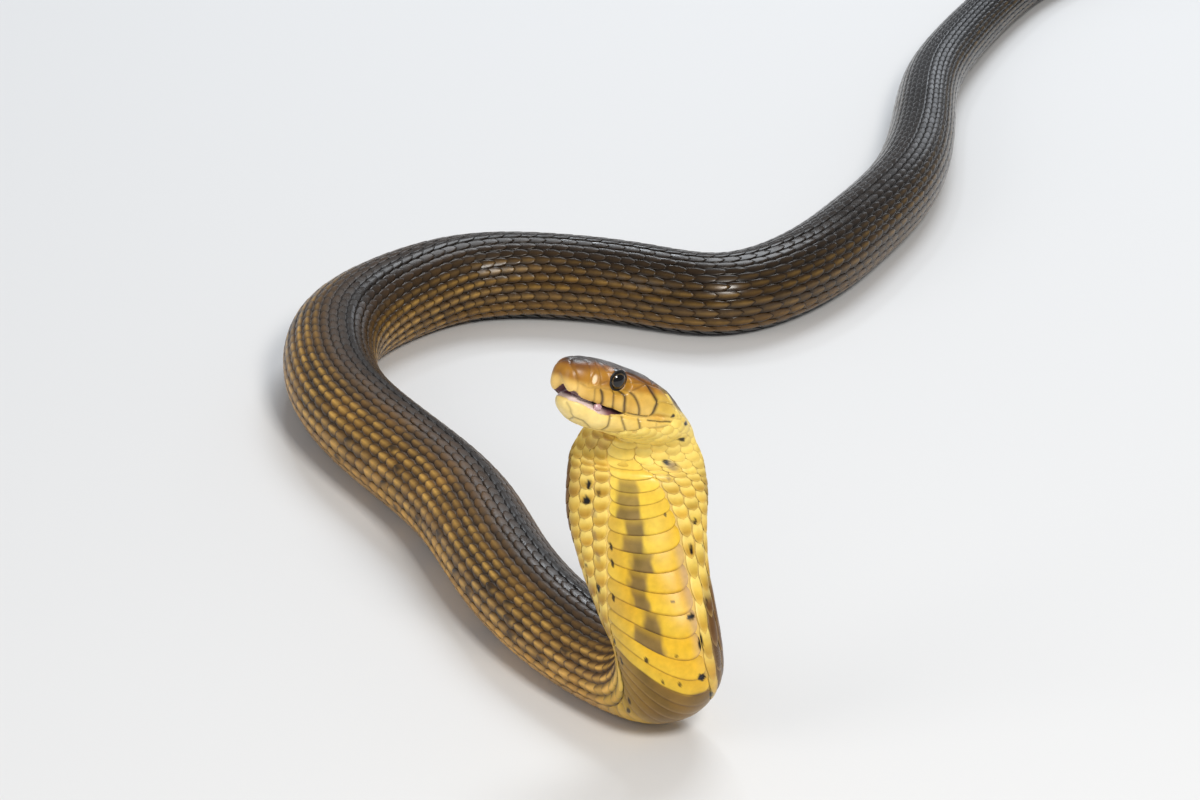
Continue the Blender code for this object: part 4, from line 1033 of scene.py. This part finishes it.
def dorsal(name, centres, us, vs, pieces, belong, rows_of, fine):
    coat = Coat(us, vs)
    s0, r0, length, half = centres.T
    U, V = coat.u[None], coat.v[None]
    w = outline(V)
    s = s0[:, None] + length[:, None] * V * (1 - 0.035 * U ** 2)
    r = r0[:, None] + U * w * half[:, None]
    g = turned(s, rows_of(s, r))
    g0 = turned(s0 + length * 0.55, rows_of(s0 + length * 0.55, r0))
    fv = belly_share(s0)
    q = np.clip((np.abs(g0) - fv) / (1 - fv), 0, 1)
    hood = 1 - ease(s0, 62, 96)
    tall = np.interp(s0, (-16, 4, 20, 1300, 1490), (0.30, 0.40, COAT, COAT, 0.28))[:, None]
    size = np.clip(length / 9.0, 0.35, 1.0)[:, None]
    dome = (0.20 + 0.24 * hood[:, None]) * (1 - U ** 2) * np.sin(np.pi * np.clip(V, 0, 1) ** 0.8) * size
    edge = 0.06 * np.abs(U) ** 6 + 0.07 * ease(V, 0.86, 1.0)
    height = 0.03 + (tall - 0.06) * V ** 0.85 * 0.92 + dome * 0.55 - edge * size
    c = paint_scale(s0 + length * 0.5, g0, s, g, V, U, 0)
    rim = np.clip(ease(np.abs(U), 0.72, 1.0) + ease(V, 0.80, 0.99), 0, 1)
    pale = lin(0.93, 0.80, 0.46)
    # hood and neck: amber scales with pale rims, a pale root that is partly painted highlight and a darker tip that is
    # partly painted shade; trunk: pale streak, dark root and edges painted as shade between the scales
    front = (hood * (1 - ease(s0, 60, 84)) * (1 - wing_back(s0, g0, q)))[:, None] if s0[0] < 104 else np.zeros((len(s0), 1))
    nape = ((1 - ease(s0, 55, 90)) * ease(q, 0.40, 0.60))[:, None]
    body = (1 - hood)[:, None]
    # pale root of the hood scales: pale base colour plus painted highlight; darker tip, less of it on the right near
    # the head: amber tip colour plus painted shade
    c = mix(c, lin(0.99, 0.88, 0.48), (1 - ease(V, 0.25, 0.62)) * front * 0.80)
    c = mix(c, c * np.array([0.72, 0.60, 0.44]), ease(V, 0.50, 0.85) * (1 - 0.7 * rim) * front * (0.80 - 0.45 * (1 - ease(s0, 8, 26)) * (g0 > 0))[:, None])
    c = mix(c, pale, rim * front * 0.40)
    dark_back = (hood * ease(s0, 50, 66) * wing_back(s0, g0, q) * (g0 > 0) * (1 - ease(q, 0.45, 0.7)))[:, None] if s0[0] < 104 else np.zeros((len(s0), 1))
    c = mix(c, mix(c * 0.80, lin(0.70, 0.58, 0.38), rim), dark_back * 0.75)
    tilt = U + np.sign(g0)[:, None] * 0.55 * (V - 0.62)
    streak = (1 - ease(np.abs(tilt), 0.12, 0.60)) * ease(V, 0.30, 0.52) * (1 - ease(V, 0.88, 0.99))
    mid = ((0.55 + 0.45 * ease(q, 0.04, 0.2)) * (1 - ease(q, 0.45, 0.80)) * (1 - 0.8 * ease(s0, 300, 560)))[:, None]
    lively = rng.uniform(0.35, 1.0, len(s0))[:, None]
    c = mix(c, lin(0.97, 0.76, 0.38), streak * mid * body * lively * 0.85)
    # dark root and sides of the trunk scales: painted shade under and between the overlapping scales
    c = mix(c, c * 0.20, np.clip(0.70 * (1 - ease(V, 0.25, 0.60)) + 0.70 * ease(np.abs(tilt), 0.45, 0.95), 0, 1) * body)
    c = mix(c, lin(0.72, 0.58, 0.34), rim * nape * 0.45)
    low = ((1 - ease(q, 0.10, 0.24)) * ease(s0, 95, 130) * (1 - ease(s0, 300, 430)))[:, None]
    c = mix(c, c * 1.18, (1 - rim) * low)
    # black flecks on the tips of some flank and hood scales
    fleck = rng.rand(len(s0)) < np.interp(s0, (80, 100, 110, 200, 300, 420), (0.0, 0.12, 0.20, 0.15, 0.09, 0.0)) * (1 - ease(q, 0.30, 0.55))
    lean_u = rng.uniform(-0.5, 0.5, len(s0))[:, None]
    spot = ease(1.0 - np.hypot((U - lean_u) / 0.62, (V - 0.80) / 0.26), 0.0, 0.45) * fleck[:, None]
    c = mix(c, lin(0.07, 0.055, 0.04), spot * 0.92)
    if (s0 < 100).any():
        c = spotted(c.reshape(-1, 3), (s + slant(s, g)).ravel(), g.ravel()).reshape(c.shape)
    matt = np.clip(0.33 + 0.07 * front + 0.16 * (ease(s0, 90, 110) * (1 - ease(s0, 300, 420)) * (1 - ease(q, 0.74, 0.90)))[:, None] + 0.06 * rng.uniform(-1, 1, len(s0))[:, None] - 0.10 * ease(s0, 330, 640)[:, None] + 0 * U + 0 * V, 0.14, 0.7)
    lo, hi = np.zeros(len(s0)), np.ones(len(s0))
    for k in range(pieces):
        m = belong == k
        if m.any():
            lo[m], hi[m] = s0[m].min() - 2, (s0 + length)[m].max() + 2
    uv_mid = np.column_stack([(g0 + 1) / 2 * 0.96 + 0.02, 0.02 + 0.96 * (s0 - lo) / (hi - lo)])
    return coat.build(name, s, g, height, 0.17 * np.ones(1), c, matt, uv_mid, 0.0015, pieces, belong)


def lattice_rows(s, r):
    fv = belly_share(s)
    over = r > 10.5
    rr = np.where(over, 21 - r, r)
    c = np.where(rr < 0, rr * ROW_EDGE[1], np.interp(rr, ROW_AT, ROW_EDGE))
    f = fv + (1 - fv) * c
    return np.where(over, 2 - f, f)


WIDE_U, WIDE_V = (-1, -0.62, 0, 0.62, 1), (0, 0.22, 0.45, 0.68, 0.87, 0.985)
FINE_U, FINE_V = (-1, -0.84, -0.56, -0.28, 0, 0.28, 0.56, 0.84, 1), (0, 0.12, 0.25, 0.38, 0.52, 0.66, 0.79, 0.89, 0.955, 0.992)
near_list, far_list = [], []
for i, s in enumerate(body_stations):
    step = float(FIELD(s)[0, 1])
    hood = float(1 - ease(s, 66, 100))
    nape = float(1 - ease(s, 4, 16))
    long = step * (1.66 - 0.30 * hood + 0.25 * nape)
    half = 0.60 - 0.05 * hood + 0.05 * nape
    for r in range(21):
        at = s + (step / 2 if r % 2 else 0.0)
        if at > VENT + 4:
            continue
        wide = 1.0 if 0 < r < 20 else 0.93
        jit = rng.uniform(-0.05, 0.05)
        (near_list if at < 104 else far_list).append((at + jit * step, r + 0.5 + 0.03 * rng.uniform(-1, 1), long * (1 + 0.03 * rng.uniform(-1, 1)), half * wide))
near_list, far_list = np.array(near_list), np.array(far_list)
mid_s = near_list[:, 0] + near_list[:, 2] * 0.3
near_list = near_list[head_mask(mid_s, turned(mid_s, lattice_rows(mid_s, near_list[:, 1])))]
made += dorsal("hood_scales", near_list, FINE_U, FINE_V, 1, np.zeros(len(near_list), int), lattice_rows, True)
cuts = np.array([300, 520, 760, 980])
made += dorsal("trunk_scales", far_list, WIDE_U, WIDE_V, 5, np.searchsorted(cuts, far_list[:, 0]), lattice_rows, False)

# tail: fewer rows
tail = []
for s_from, s_to, rows in ((VENT + 4, 1322, 15), (1322, 1412, 11), (1412, 1460, 9), (1460, BODY.length - 7, 7)):
    def tail_rows(s, r, rows=rows):
        fv = belly_share(s)
        return fv + (2 - 2 * fv) * r / rows
    part, s, i = [], s_from, 0
    while s < s_to:
        step = float(FIELD(s)[0, 1])
        for r in range(rows):
            at = s + (step / 2 if r % 2 else 0.0)
            part.append((at, r + 0.5, min(step * 1.66, BODY.length - at - 0.6), 0.60))
        s += step
    part = np.array(part)
    made += dorsal("tail_scales_%d" % rows, part, WIDE_U, WIDE_V, 1, np.zeros(len(part), int), tail_rows, False)

# throat: small smooth scales ahead of the first broad plates
gular = []
first_rear = float(np.interp(np.interp(9.6, run_s, run_l) - 9.2, run_l, run_s))
for n in range(17):
    s = float(np.interp(np.interp(first_rear, run_s, run_l) - 2.35 * (n + 1.2), run_l, run_s))
    step = float(np.interp(np.interp(s, run_s, run_l) + 2.35, run_l, run_s)) - s
    if s < -15.9:
        break
    for k in range(7):
        at = s + (step / 2 if k % 2 else 0.0)
        gular.append((at, k + 0.5, step * 1.65, 0.62))
gular = np.array(gular)


def gular_rows(s, r):
    return (r / 7.0 * 2 - 1) * belly_share(s) * 1.02


mid_s = gular[:, 0] + gular[:, 2] * 0.3
ok = head_mask(mid_s, turned(mid_s, gular_rows(mid_s, gular[:, 1])))
ok &= gular[:, 0] + gular[:, 2] < first_rear + 1.0
gular = gular[ok]
made += dorsal("throat_scales", gular, FINE_U, FINE_V, 1, np.zeros(len(gular), int), gular_rows, True)


# broad plates under the body, one to a station, with arched rear edges
def plates(name, s0, length, us, vs, pieces, belong, lo_g=-1.0, hi_g=1.0, bulge_of=None):
    coat = Coat(us, vs)
    U, V = coat.u[None], coat.v[None]
    count = len(s0)
    bulge = bulge_of(s0)[:, None]
    end = np.sqrt(np.maximum(1 - np.abs(U) ** 7, 0.0))
    s = s0[:, None] + length[:, None] * (0.5 + (V - 0.5) * (0.25 + 0.75 * end)) + bulge * (1 - U ** 2) - bulge * 0.4
    fv = belly_share(s) * 0.985
    g = (lo_g + hi_g) / 2 + U * (hi_g - lo_g) / 2
    g = turned(s, g * fv)
    tall = np.interp(s0, (0, 20, 1300, 1490), (0.40, COAT, COAT, 0.28))[:, None]
    height = 0.04 + (tall - 0.05) * V ** 0.8 - 0.16 * np.abs(U) ** 10 - 0.05 * ease(V, 0.9, 1.0) + 0.10 * np.sin(np.pi * V) * (1 - U ** 6)
    flat = s - bulge * (1 - U ** 2) + bulge
    near = bool((s0 < 112).all())
    c = belly_paint(s.ravel(), g.ravel(), flat.ravel(), not near).reshape(s.shape + (3,))
    if near:   # each plate has its own piece of the row of blotches
        gap, off = length / 1.34, g * BODY.girth_half(s)
        key = s0 + length * 0.63 + bulge[:, 0] * 0.6
        share = np.array([np.maximum(np.minimum(key + gap / 2, b[1]) - np.maximum(key - gap / 2, b[0]), 0) / gap for b in BLOTCHES])
        x0, x1 = np.array(BLOTCHES)[np.argmax(share, axis=0), 2:].T[:, :, None]
        d = np.abs(off - (x0 + x1) / 2) - (x1 - x0) / 2 + 0.9 * noise(s / 3.2, off / 1.6, key[:, None]) - 0.5 * ease(V, 0.5, 0.95)
        k = ease(share.max(axis=0), 0.20, 0.60)[:, None] * (1 - ease(d, -1.3, 0.9)) * (0.92 - 0.30 * (1 - ease(V, 0.25, 0.6)))
        c = mix(c, blotch_paint(s, off / 9.0), k * 0.92)
    c = c * (1 + rng.uniform(-0.05, 0.05, count)[:, None, None])
    x = g / belly_share(s)
    front = (1 - ease(s0, 300, 480))[:, None]
    olive = rng.uniform(0.1, 0.75, count)[:, None] * ease(-x, 0.15, 0.80) * (1 - ease(s0, 84, 100))[:, None] * ease(s0, 22, 34)[:, None]
    c = mix(c, lin(0.76, 0.60, 0.27), olive)
    # deeper, darker front half of each plate: partly its golden colour, partly painted shade
    c = mix(c, c * np.array([0.95, 0.88, 0.66]), 0.6 * (1 - ease(V, 0.30, 0.80)) * (1 - ease(s0, 96, 120))[:, None])
    c = mix(c, lin(0.66, 0.52, 0.28), 0.55 * ease(V, 0.80, 0.90) * (ease(s0, 74, 80) * (1 - ease(s0, 100, 125)))[:, None])
    # darker rear edge: a thin brown line with painted shade at the free edge
    c = mix(c, c * np.array([0.50, 0.38, 0.28]), 0.85 * ease(V, 0.90, 0.985) * front * (0.75 + 0.25 * noise(s / 1.7, x * 9, 4.0)))
    # dark front strip: painted shade under the previous plate's free edge
    c = mix(c, c * 0.72, 0.6 * (1 - ease(V, 0.05, 0.3)))
    # brown flecks, mostly at the ends of the plates
    for _ in range(2):
        has = rng.rand(count) < np.interp(s0, (80, 95, 110, 200, 400), (0.0, 0.3, 0.5, 0.40, 0.1))
        fx = np.where(rng.rand(count) < 0.65, rng.choice([-1, 1], count) * rng.uniform(0.72, 0.93, count), rng.uniform(-0.7, 0.8, count))[:, None]
        fl = rng.uniform(0.035, 0.07, count)[:, None]
        d = np.hypot((U - fx) / fl, (V - rng.uniform(0.60, 0.82, count)[:, None]) / 0.20)
        c = mix(c, lin(0.12, 0.08, 0.04), 0.9 * ease(1.15 - d, 0.0, 0.4) * has[:, None])
    # pale pinkish-grey at the right ends of the plates: painted highlight
    plate_end_highlight = (ease(s0, 36, 44) * (1 - ease(s0, 62, 72)))[:, None] * ease(x, 0.72, 0.97) * 0.55
    c = mix(c, lin(0.74, 0.64, 0.58), plate_end_highlight)
    if (s0 < 112).all():
        c = spotted(c.reshape(-1, 3), (s + slant(s, g)).ravel(), g.ravel()).reshape(c.shape)
    matt = np.clip(0.34 + 0.05 * rng.uniform(-1, 1, count)[:, None] - 0.08 * ease(s0, 330, 640)[:, None] + 0 * U + 0 * V, 0.14, 0.7)
    lo, hi = np.zeros(count), np.ones(count)
    for k in range(pieces):
        m = belong == k
        if m.any():
            lo[m], hi[m] = s0[m].min() - 2, (s0 + length)[m].max() + 2
    uv_mid = np.column_stack([np.full(count, 0.5 + (lo_g + hi_g) * 0.2) + ((np.arange(count) * 0.618) % 1 - 0.5) * 0.9 * (1 if lo_g + hi_g == 0 else 0.3), 0.02 + 0.96 * (s0 - lo) / (hi - lo)])
    return coat.build(name, s, g, height, 0.22 * np.ones(1), c, matt, uv_mid, 0.0015, pieces, belong)


bulge_of = lambda s: np.interp(s, (0, 15, 40, 60, 90, 200), (0.5, 1.3, 2.4, 2.7, 2.3, 1.2))
rears = belly_steps(first_rear, VENT - 3)
gaps = np.diff(np.concatenate([[2 * rears[0] - rears[1]], rears]))
plate_long = gaps * 1.34
plate_s = rears - plate_long - 0.6 * bulge_of(rears)
PLATE_U = np.concatenate([[-1, -0.985, -0.955, -0.90], np.linspace(-0.82, 0.82, 17), [0.90, 0.955, 0.985, 1]])
FRONT_U = np.concatenate([[-1, -0.993, -0.978, -0.955], np.linspace(-0.925, 0.925, 73), [0.955, 0.978, 0.993, 1]])
front = plate_s < 112
made += plates("belly_plates_front", plate_s[front], plate_long[front], FRONT_U, (0, 0.1, 0.2, 0.28, 0.36, 0.44, 0.52, 0.60, 0.68, 0.76, 0.84, 0.90, 0.945, 0.972, 0.992), 1, np.zeros(front.sum(), int), bulge_of=bulge_of)
made += plates("belly_plates", plate_s[~front], plate_long[~front], PLATE_U, (0, 0.18, 0.42, 0.68, 0.88, 0.99), 1, np.zeros((~front).sum(), int), bulge_of=bulge_of)
made += plates("vent_plate", np.array([VENT - 8.0]), np.array([9.5]), PLATE_U, (0, 0.18, 0.42, 0.68, 0.88, 0.99), 1, np.zeros(1, int), bulge_of=lambda s: np.full(len(s), 1.6))
for side in (-1, 1):
    ss, s = [], VENT + 0.5 + (1.25 if side > 0 else 0)
    while s < BODY.length - 9:
        ss.append(s)
        s += float(FIELD(s)[0, 1])
    ss = np.array(ss)
    lo_g, hi_g = (-1.02, 0.04) if side < 0 else (-0.04, 1.02)
    made += plates("tail_plates_" + ("right" if side < 0 else "left"), ss, FIELD(ss)[:, 1] * 1.4, (-1, -0.8, -0.4, 0, 0.4, 0.8, 1), (0, 0.3, 0.6, 0.88, 0.99), 1,
                   np.zeros(len(ss), int), lo_g, hi_g, lambda s: np.full(len(s), 0.3))

# the tail's horny tip
tip_s = BODY.length - np.array([9.0, 7.0, 5.0, 3.2, 1.6, 0.5])
rings = []
for s, r in zip(tip_s, (1.02, 1.0, 0.96, 0.86, 0.62, 0.30)):
    c, n, b, x = (v[0] for v in BODY.frame(np.array([s])))
    size = float(BODY.girth(s)[0, 0]) * r
    q = np.linspace(0, 2 * math.pi, 20, endpoint=False)
    ring = c + (x * np.sin(q)[:, None] - b * np.cos(q)[:, None]) * size * MM
    ring[:, 2] = np.maximum(ring[:, 2], 0.00005)
    rings.append(ring)
tip_obj = capped(np.array(rings), "tail_tip")
tip_v = coords(tip_obj.data)
add_paint(tip_obj.data, np.tile(lin(0.06, 0.055, 0.05), (len(tip_v), 1)), np.full(len(tip_v), 0.3))
layer = tip_obj.data.uv_layers.new(name="OFBake")
loop_v = np.empty(len(tip_obj.data.loops), np.int32)
tip_obj.data.loops.foreach_get("vertex_index", loop_v)
tip_uv = np.column_stack([(np.arange(len(tip_v)) % 20) / 20 * 0.9 + 0.05, np.minimum(np.arange(len(tip_v)) // 20, 5) / 5 * 0.9 + 0.05])
layer.data.foreach_set("uv", tip_uv[loop_v].astype(np.float32).ravel())
made.append(tip_obj)


# ---------------------------------------------------------------- eyes and the soft sheaths of the fangs
def ball(name, centre, axis, up, radius, rows=40, around=64, flat=0.0):
    """Ball seen along its axis; the angle from the axis runs with the rows."""
    theta = np.linspace(0, math.pi, rows + 1)[1:-1]
    x = unit(np.cross(up, axis))
    y = np.cross(axis, x)
    q = np.linspace(0, 2 * math.pi, around, endpoint=False)
    rings = np.array([centre + (axis * math.cos(t) + (np.outer(np.cos(q), x) + np.outer(np.sin(q), y)) * math.sin(t)) * radius * MM for t in theta])
    n = len(theta) * around
    verts = np.concatenate([rings.reshape(-1, 3), (centre + axis * radius * MM)[None], (centre - axis * radius * MM)[None]])
    k = np.arange(around)
    first = np.column_stack([(k + 1) % around, k, np.full(around, n)])
    last = np.column_stack([n - around + k, n - around + (k + 1) % around, np.full(around, n + 1)])
    angle = np.concatenate([np.repeat(theta, around), [0.0, math.pi]])
    turn = np.concatenate([np.tile(q, len(theta)), [0.0, 0.0]])
    return verts, [ring_faces(len(theta), around), first, last], angle, turn


eyes = {}
for side, name in ((1, "left"), (-1, "right")):
    centre, axis = eye_axis[side]
    look = unit(LEFT * side + FORE * 0.10 - CROWN * 0.05)
    v, f, angle, turn = ball("eye", centre, look, CROWN, EYE_R, rows=72, around=96)
    deg = np.degrees(angle)
    wob = 1.2 * np.sin(turn * 3 + 1) + 0.8 * np.sin(turn * 7)
    black, gold, bronze = lin(0.012, 0.010, 0.010), lin(0.46, 0.37, 0.22), lin(0.09, 0.06, 0.03)
    c = np.tile(black, (len(v), 1))
    iris = ease(deg, 38.0, 39.5)
    c = mix(c, gold, iris * (0.62 + 0.22 * np.sin(turn * 23 + np.sin(turn * 5) * 2) + 0.16 * np.sin(turn + 2.0)))
    c = mix(c, bronze, ease(deg + wob, 42.5, 45.0))
    c = mix(c, black, ease(deg, 50, 56))
    # the dark rim of the opening: a smooth ring of skin around the ball
    _, axis = eye_axis[side]
    x = unit(np.cross(CROWN, axis))
    y = np.cross(axis, x)
    around, tube = 96, 14
    q, t = np.meshgrid(np.linspace(0, 2 * math.pi, around, endpoint=False), np.linspace(0, 2 * math.pi, tube, endpoint=False), indexing="ij")
    wide = 0.34 + 0.04 * np.sin(q * 2 + 0.6) + 0.02 * np.sin(q * 5)
    rho = 3.12 + wide * np.cos(t)
    along = math.sqrt(EYE_R ** 2 - 9.0) + 0.08 + 0.27 * np.sin(t)
    ring = centre + (np.cos(q)[..., None] * x * rho[..., None] + np.sin(q)[..., None] * y * rho[..., None] + axis * along[..., None]) * MM
    k = np.arange(around * tube).reshape(around, tube)
    quads = np.stack([k, np.roll(k, -1, 1), np.roll(np.roll(k, -1, 0), -1, 1), np.roll(k, -1, 0)], axis=-1).reshape(-1, 4)
    c = np.concatenate([c, np.tile(lin(0.055, 0.040, 0.032), (around * tube, 1))])
    gloss = np.concatenate([np.full(len(v), 0.05), np.full(around * tube, 0.50)])
    f = list(f) + [quads + len(v)]
    eyes[name] = new_mesh("eye_ball_" + name, np.concatenate([v, ring.reshape(-1, 3)]), f, c, gloss)

lobes = {}
for side, name in ((1, "left"), (-1, "right")):
    rows, around = 26, 36
    v, f, angle, turn = ball("lobe", np.zeros(3), np.array([0, 0, 1.0]), np.array([1.0, 0, 0]), 1000.0, rows, around)
    wrinkle = 1 + 0.05 * noise(v[:, 0] * 3, v[:, 1] * 3, v[:, 2] * 3)
    v = v * wrinkle[:, None]
    centre = head_point(9.9, 7.1 * side, -3.75)
    p = centre + (np.outer(v[:, 0], -FORE) * 1.50 + np.outer(v[:, 1], LEFT * side) * 0.90 + np.outer(v[:, 2], CROWN) * 1.15) * MM
    pink = mix(lin(0.86, 0.72, 0.74), lin(0.72, 0.54, 0.60), np.clip(0.5 + 0.6 * noise(v[:, 0] * 2, v[:, 1] * 2, v[:, 2] * 2 + 5), 0, 1))
    lobes[name] = new_mesh("fang_sheath_lobe_" + name, p, f, pink, np.full(len(p), 0.14))


# ---------------------------------------------------------------- materials
def material(name, rough_add=0.0, grain=2600.0, grain_bump=0.12, sheen=0.0, coat=0.25, coat_rough=0.18, tone=0.10, specular=0.5, lump=420.0):
    m = bpy.data.materials.new(name)
    m.use_nodes = True
    t = m.node_tree
    t.nodes.clear()
    out = t.nodes.new("ShaderNodeOutputMaterial")
    b = t.nodes.new("ShaderNodeBsdfPrincipled")
    t.links.new(b.outputs[0], out.inputs[0])
    col = t.nodes.new("ShaderNodeAttribute")
    col.attribute_name = "paint"
    mat = t.nodes.new("ShaderNodeAttribute")
    mat.attribute_name = "matt"
    tex = t.nodes.new("ShaderNodeTexCoord")
    fine = t.nodes.new("ShaderNodeTexNoise")
    fine.inputs["Scale"].default_value = grain
    fine.inputs["Detail"].default_value = 3.0
    big = t.nodes.new("ShaderNodeTexNoise")
    big.inputs["Scale"].default_value = lump
    big.inputs["Detail"].default_value = 4.0
    for n in (fine, big):
        t.links.new(tex.outputs["Object"], n.inputs["Vector"])
    ramp = t.nodes.new("ShaderNodeMapRange")
    ramp.inputs["From Min"].default_value, ramp.inputs["From Max"].default_value = 0.3, 0.7
    ramp.inputs["To Min"].default_value, ramp.inputs["To Max"].default_value = 1 - tone, 1 + tone
    t.links.new(big.outputs["Fac"], ramp.inputs["Value"])
    scale = t.nodes.new("ShaderNodeVectorMath")
    scale.operation = "SCALE"
    t.links.new(col.outputs["Color"], scale.inputs[0])
    t.links.new(ramp.outputs["Result"], scale.inputs["Scale"])
    t.links.new(scale.outputs["Vector"], b.inputs["Base Color"])
    rr = t.nodes.new("ShaderNodeMath")
    rr.operation = "MULTIPLY_ADD"
    rr.inputs[1].default_value = 0.16
    t.links.new(fine.outputs["Fac"], rr.inputs[0])
    t.links.new(mat.outputs["Fac"], rr.inputs[2])
    r2 = t.nodes.new("ShaderNodeMath")
    r2.operation = "ADD"
    r2.inputs[1].default_value = rough_add - 0.08
    r2.use_clamp = True
    t.links.new(rr.outputs[0], r2.inputs[0])
    t.links.new(r2.outputs[0], b.inputs["Roughness"])
    bump = t.nodes.new("ShaderNodeBump")
    bump.inputs["Strength"].default_value = grain_bump
    bump.inputs["Distance"].default_value = 0.0001
    t.links.new(fine.outputs["Fac"], bump.inputs["Height"])
    t.links.new(bump.outputs["Normal"], b.inputs["Normal"])
    b.inputs["Specular IOR Level"].default_value = specular
    b.inputs["Coat Weight"].default_value = coat
    b.inputs["Coat Roughness"].default_value = coat_rough
    return m


m_skin = material("snake_skin", grain=1900.0, grain_bump=0.25, coat=0.12, coat_rough=0.25, tone=0.08)
m_scale = material("snake_scales", grain=2400.0, grain_bump=0.10, coat=0.08, coat_rough=0.22, tone=0.09, specular=0.30)
m_dark = material("dark_scales", grain=2400.0, grain_bump=0.08, coat=0.12, coat_rough=0.16, tone=0.10, specular=0.42)
m_eye = material("eye", grain=900.0, grain_bump=0.0, coat=0.35, coat_rough=0.02, tone=0.05, specular=0.4)
m_soft = material("moist_lining", grain=1500.0, grain_bump=0.2, coat=0.8, coat_rough=0.08, tone=0.10)
m_floor = bpy.data.materials.new("studio_floor")
m_floor.use_nodes = True
fb = m_floor.node_tree.nodes["Principled BSDF"]
fn = m_floor.node_tree.nodes.new("ShaderNodeTexNoise")
fn.inputs["Scale"].default_value = 6.0
fr = m_floor.node_tree.nodes.new("ShaderNodeMapRange")
fr.inputs["To Min"].default_value, fr.inputs["To Max"].default_value = 0.72, 0.76
m_floor.node_tree.links.new(fn.outputs["Fac"], fr.inputs["Value"])
m_floor.node_tree.links.new(fr.outputs["Result"], fb.inputs["Base Color"])
fb.inputs["Roughness"].default_value = 0.75

skin.data.materials.append(m_skin)
for obj in made:
    obj.data.materials.append(m_dark if obj.name in ("trunk_scales_4", "trunk_scales_5", "tail_tip") or obj.name.startswith("tail_") else m_scale)
for obj in eyes.values():
    obj.data.materials.append(m_eye)
    obj.data.materials.append(m_skin)
    for face in list(obj.data.polygons)[-96 * 14:]:
        face.material_index = 1
for obj in lobes.values():
    obj.data.materials.append(m_soft)

flesh = ["head", "lower_jaw", "neck", "hood", "forebody"] + ["trunk_%d" % i for i in range(1, 10)] + ["tail_1", "tail_2"]
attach(skin, "root")
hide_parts(*flesh)
for obj in made:
    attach(obj, "root")
for name in ("left", "right"):
    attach(eyes[name], "root")
    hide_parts("eye_" + name)
    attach(lobes[name], "root")
    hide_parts("fang_sheath_" + name)

# ---------------------------------------------------------------- floor, light, camera
bpy.ops.mesh.primitive_plane_add(size=9.0, location=(0, 1.0, -0.0002))
floor = bpy.context.object
floor.name = "studio_floor"
floor.data.materials.append(m_floor)


def area(name, place, target, size, power, colour):
    data = bpy.data.lights.new(name, "AREA")
    data.shape, data.size, data.energy, data.color = "SQUARE", size, power, colour
    obj = bpy.data.objects.new(name, data)
    obj.location = place
    obj.rotation_euler = (Vector(target) - Vector(place)).to_track_quat("-Z", "Y").to_euler()
    bpy.context.scene.collection.objects.link(obj)


area("key", (0.50, -1.05, 1.25), (0.05, 0.05, 0.05), 0.42, 20, (1.0, 0.965, 0.91))
area("top", (0.35, 1.15, 1.35), (0.10, 0.30, 0.0), 0.75, 13, (0.90, 0.95, 1.0))
area("glint", (-0.15, 1.35, 1.15), (0.12, 0.30, 0.0), 0.16, 2.6, (0.88, 0.94, 1.0))
area("rim", (0.75, 1.90, 0.55), (0.05, 0.0, 0.10), 0.50, 1.4, (0.88, 0.93, 1.0))
area("fill", (-1.3, -0.6, 0.8), (0.05, 0.1, 0.05), 0.9, 5, (1.0, 0.98, 0.95))
world = bpy.data.worlds.new("studio")
world.use_nodes = True
world.node_tree.nodes["Background"].inputs["Color"].default_value = (0.93, 0.95, 1.0, 1)
world.node_tree.nodes["Background"].inputs["Strength"].default_value = 0.30
bpy.context.scene.world = world
bpy.context.scene.view_settings.view_transform = "Standard"

cam = bpy.data.cameras.new("camera")
cam.lens, cam.sensor_width, cam.sensor_fit = 163.2, 36.0, "HORIZONTAL"
cam.clip_start, cam.clip_end = 0.05, 30.0
cam_obj = bpy.data.objects.new("camera", cam)
cam_obj.location = (0.0082, -1.5548, 0.8224)
cam_obj.rotation_euler = (math.radians(65.0), 0.0, 0.0)
bpy.context.scene.collection.objects.link(cam_obj)
bpy.context.scene.camera = cam_obj

bpy.context.view_layer.update()
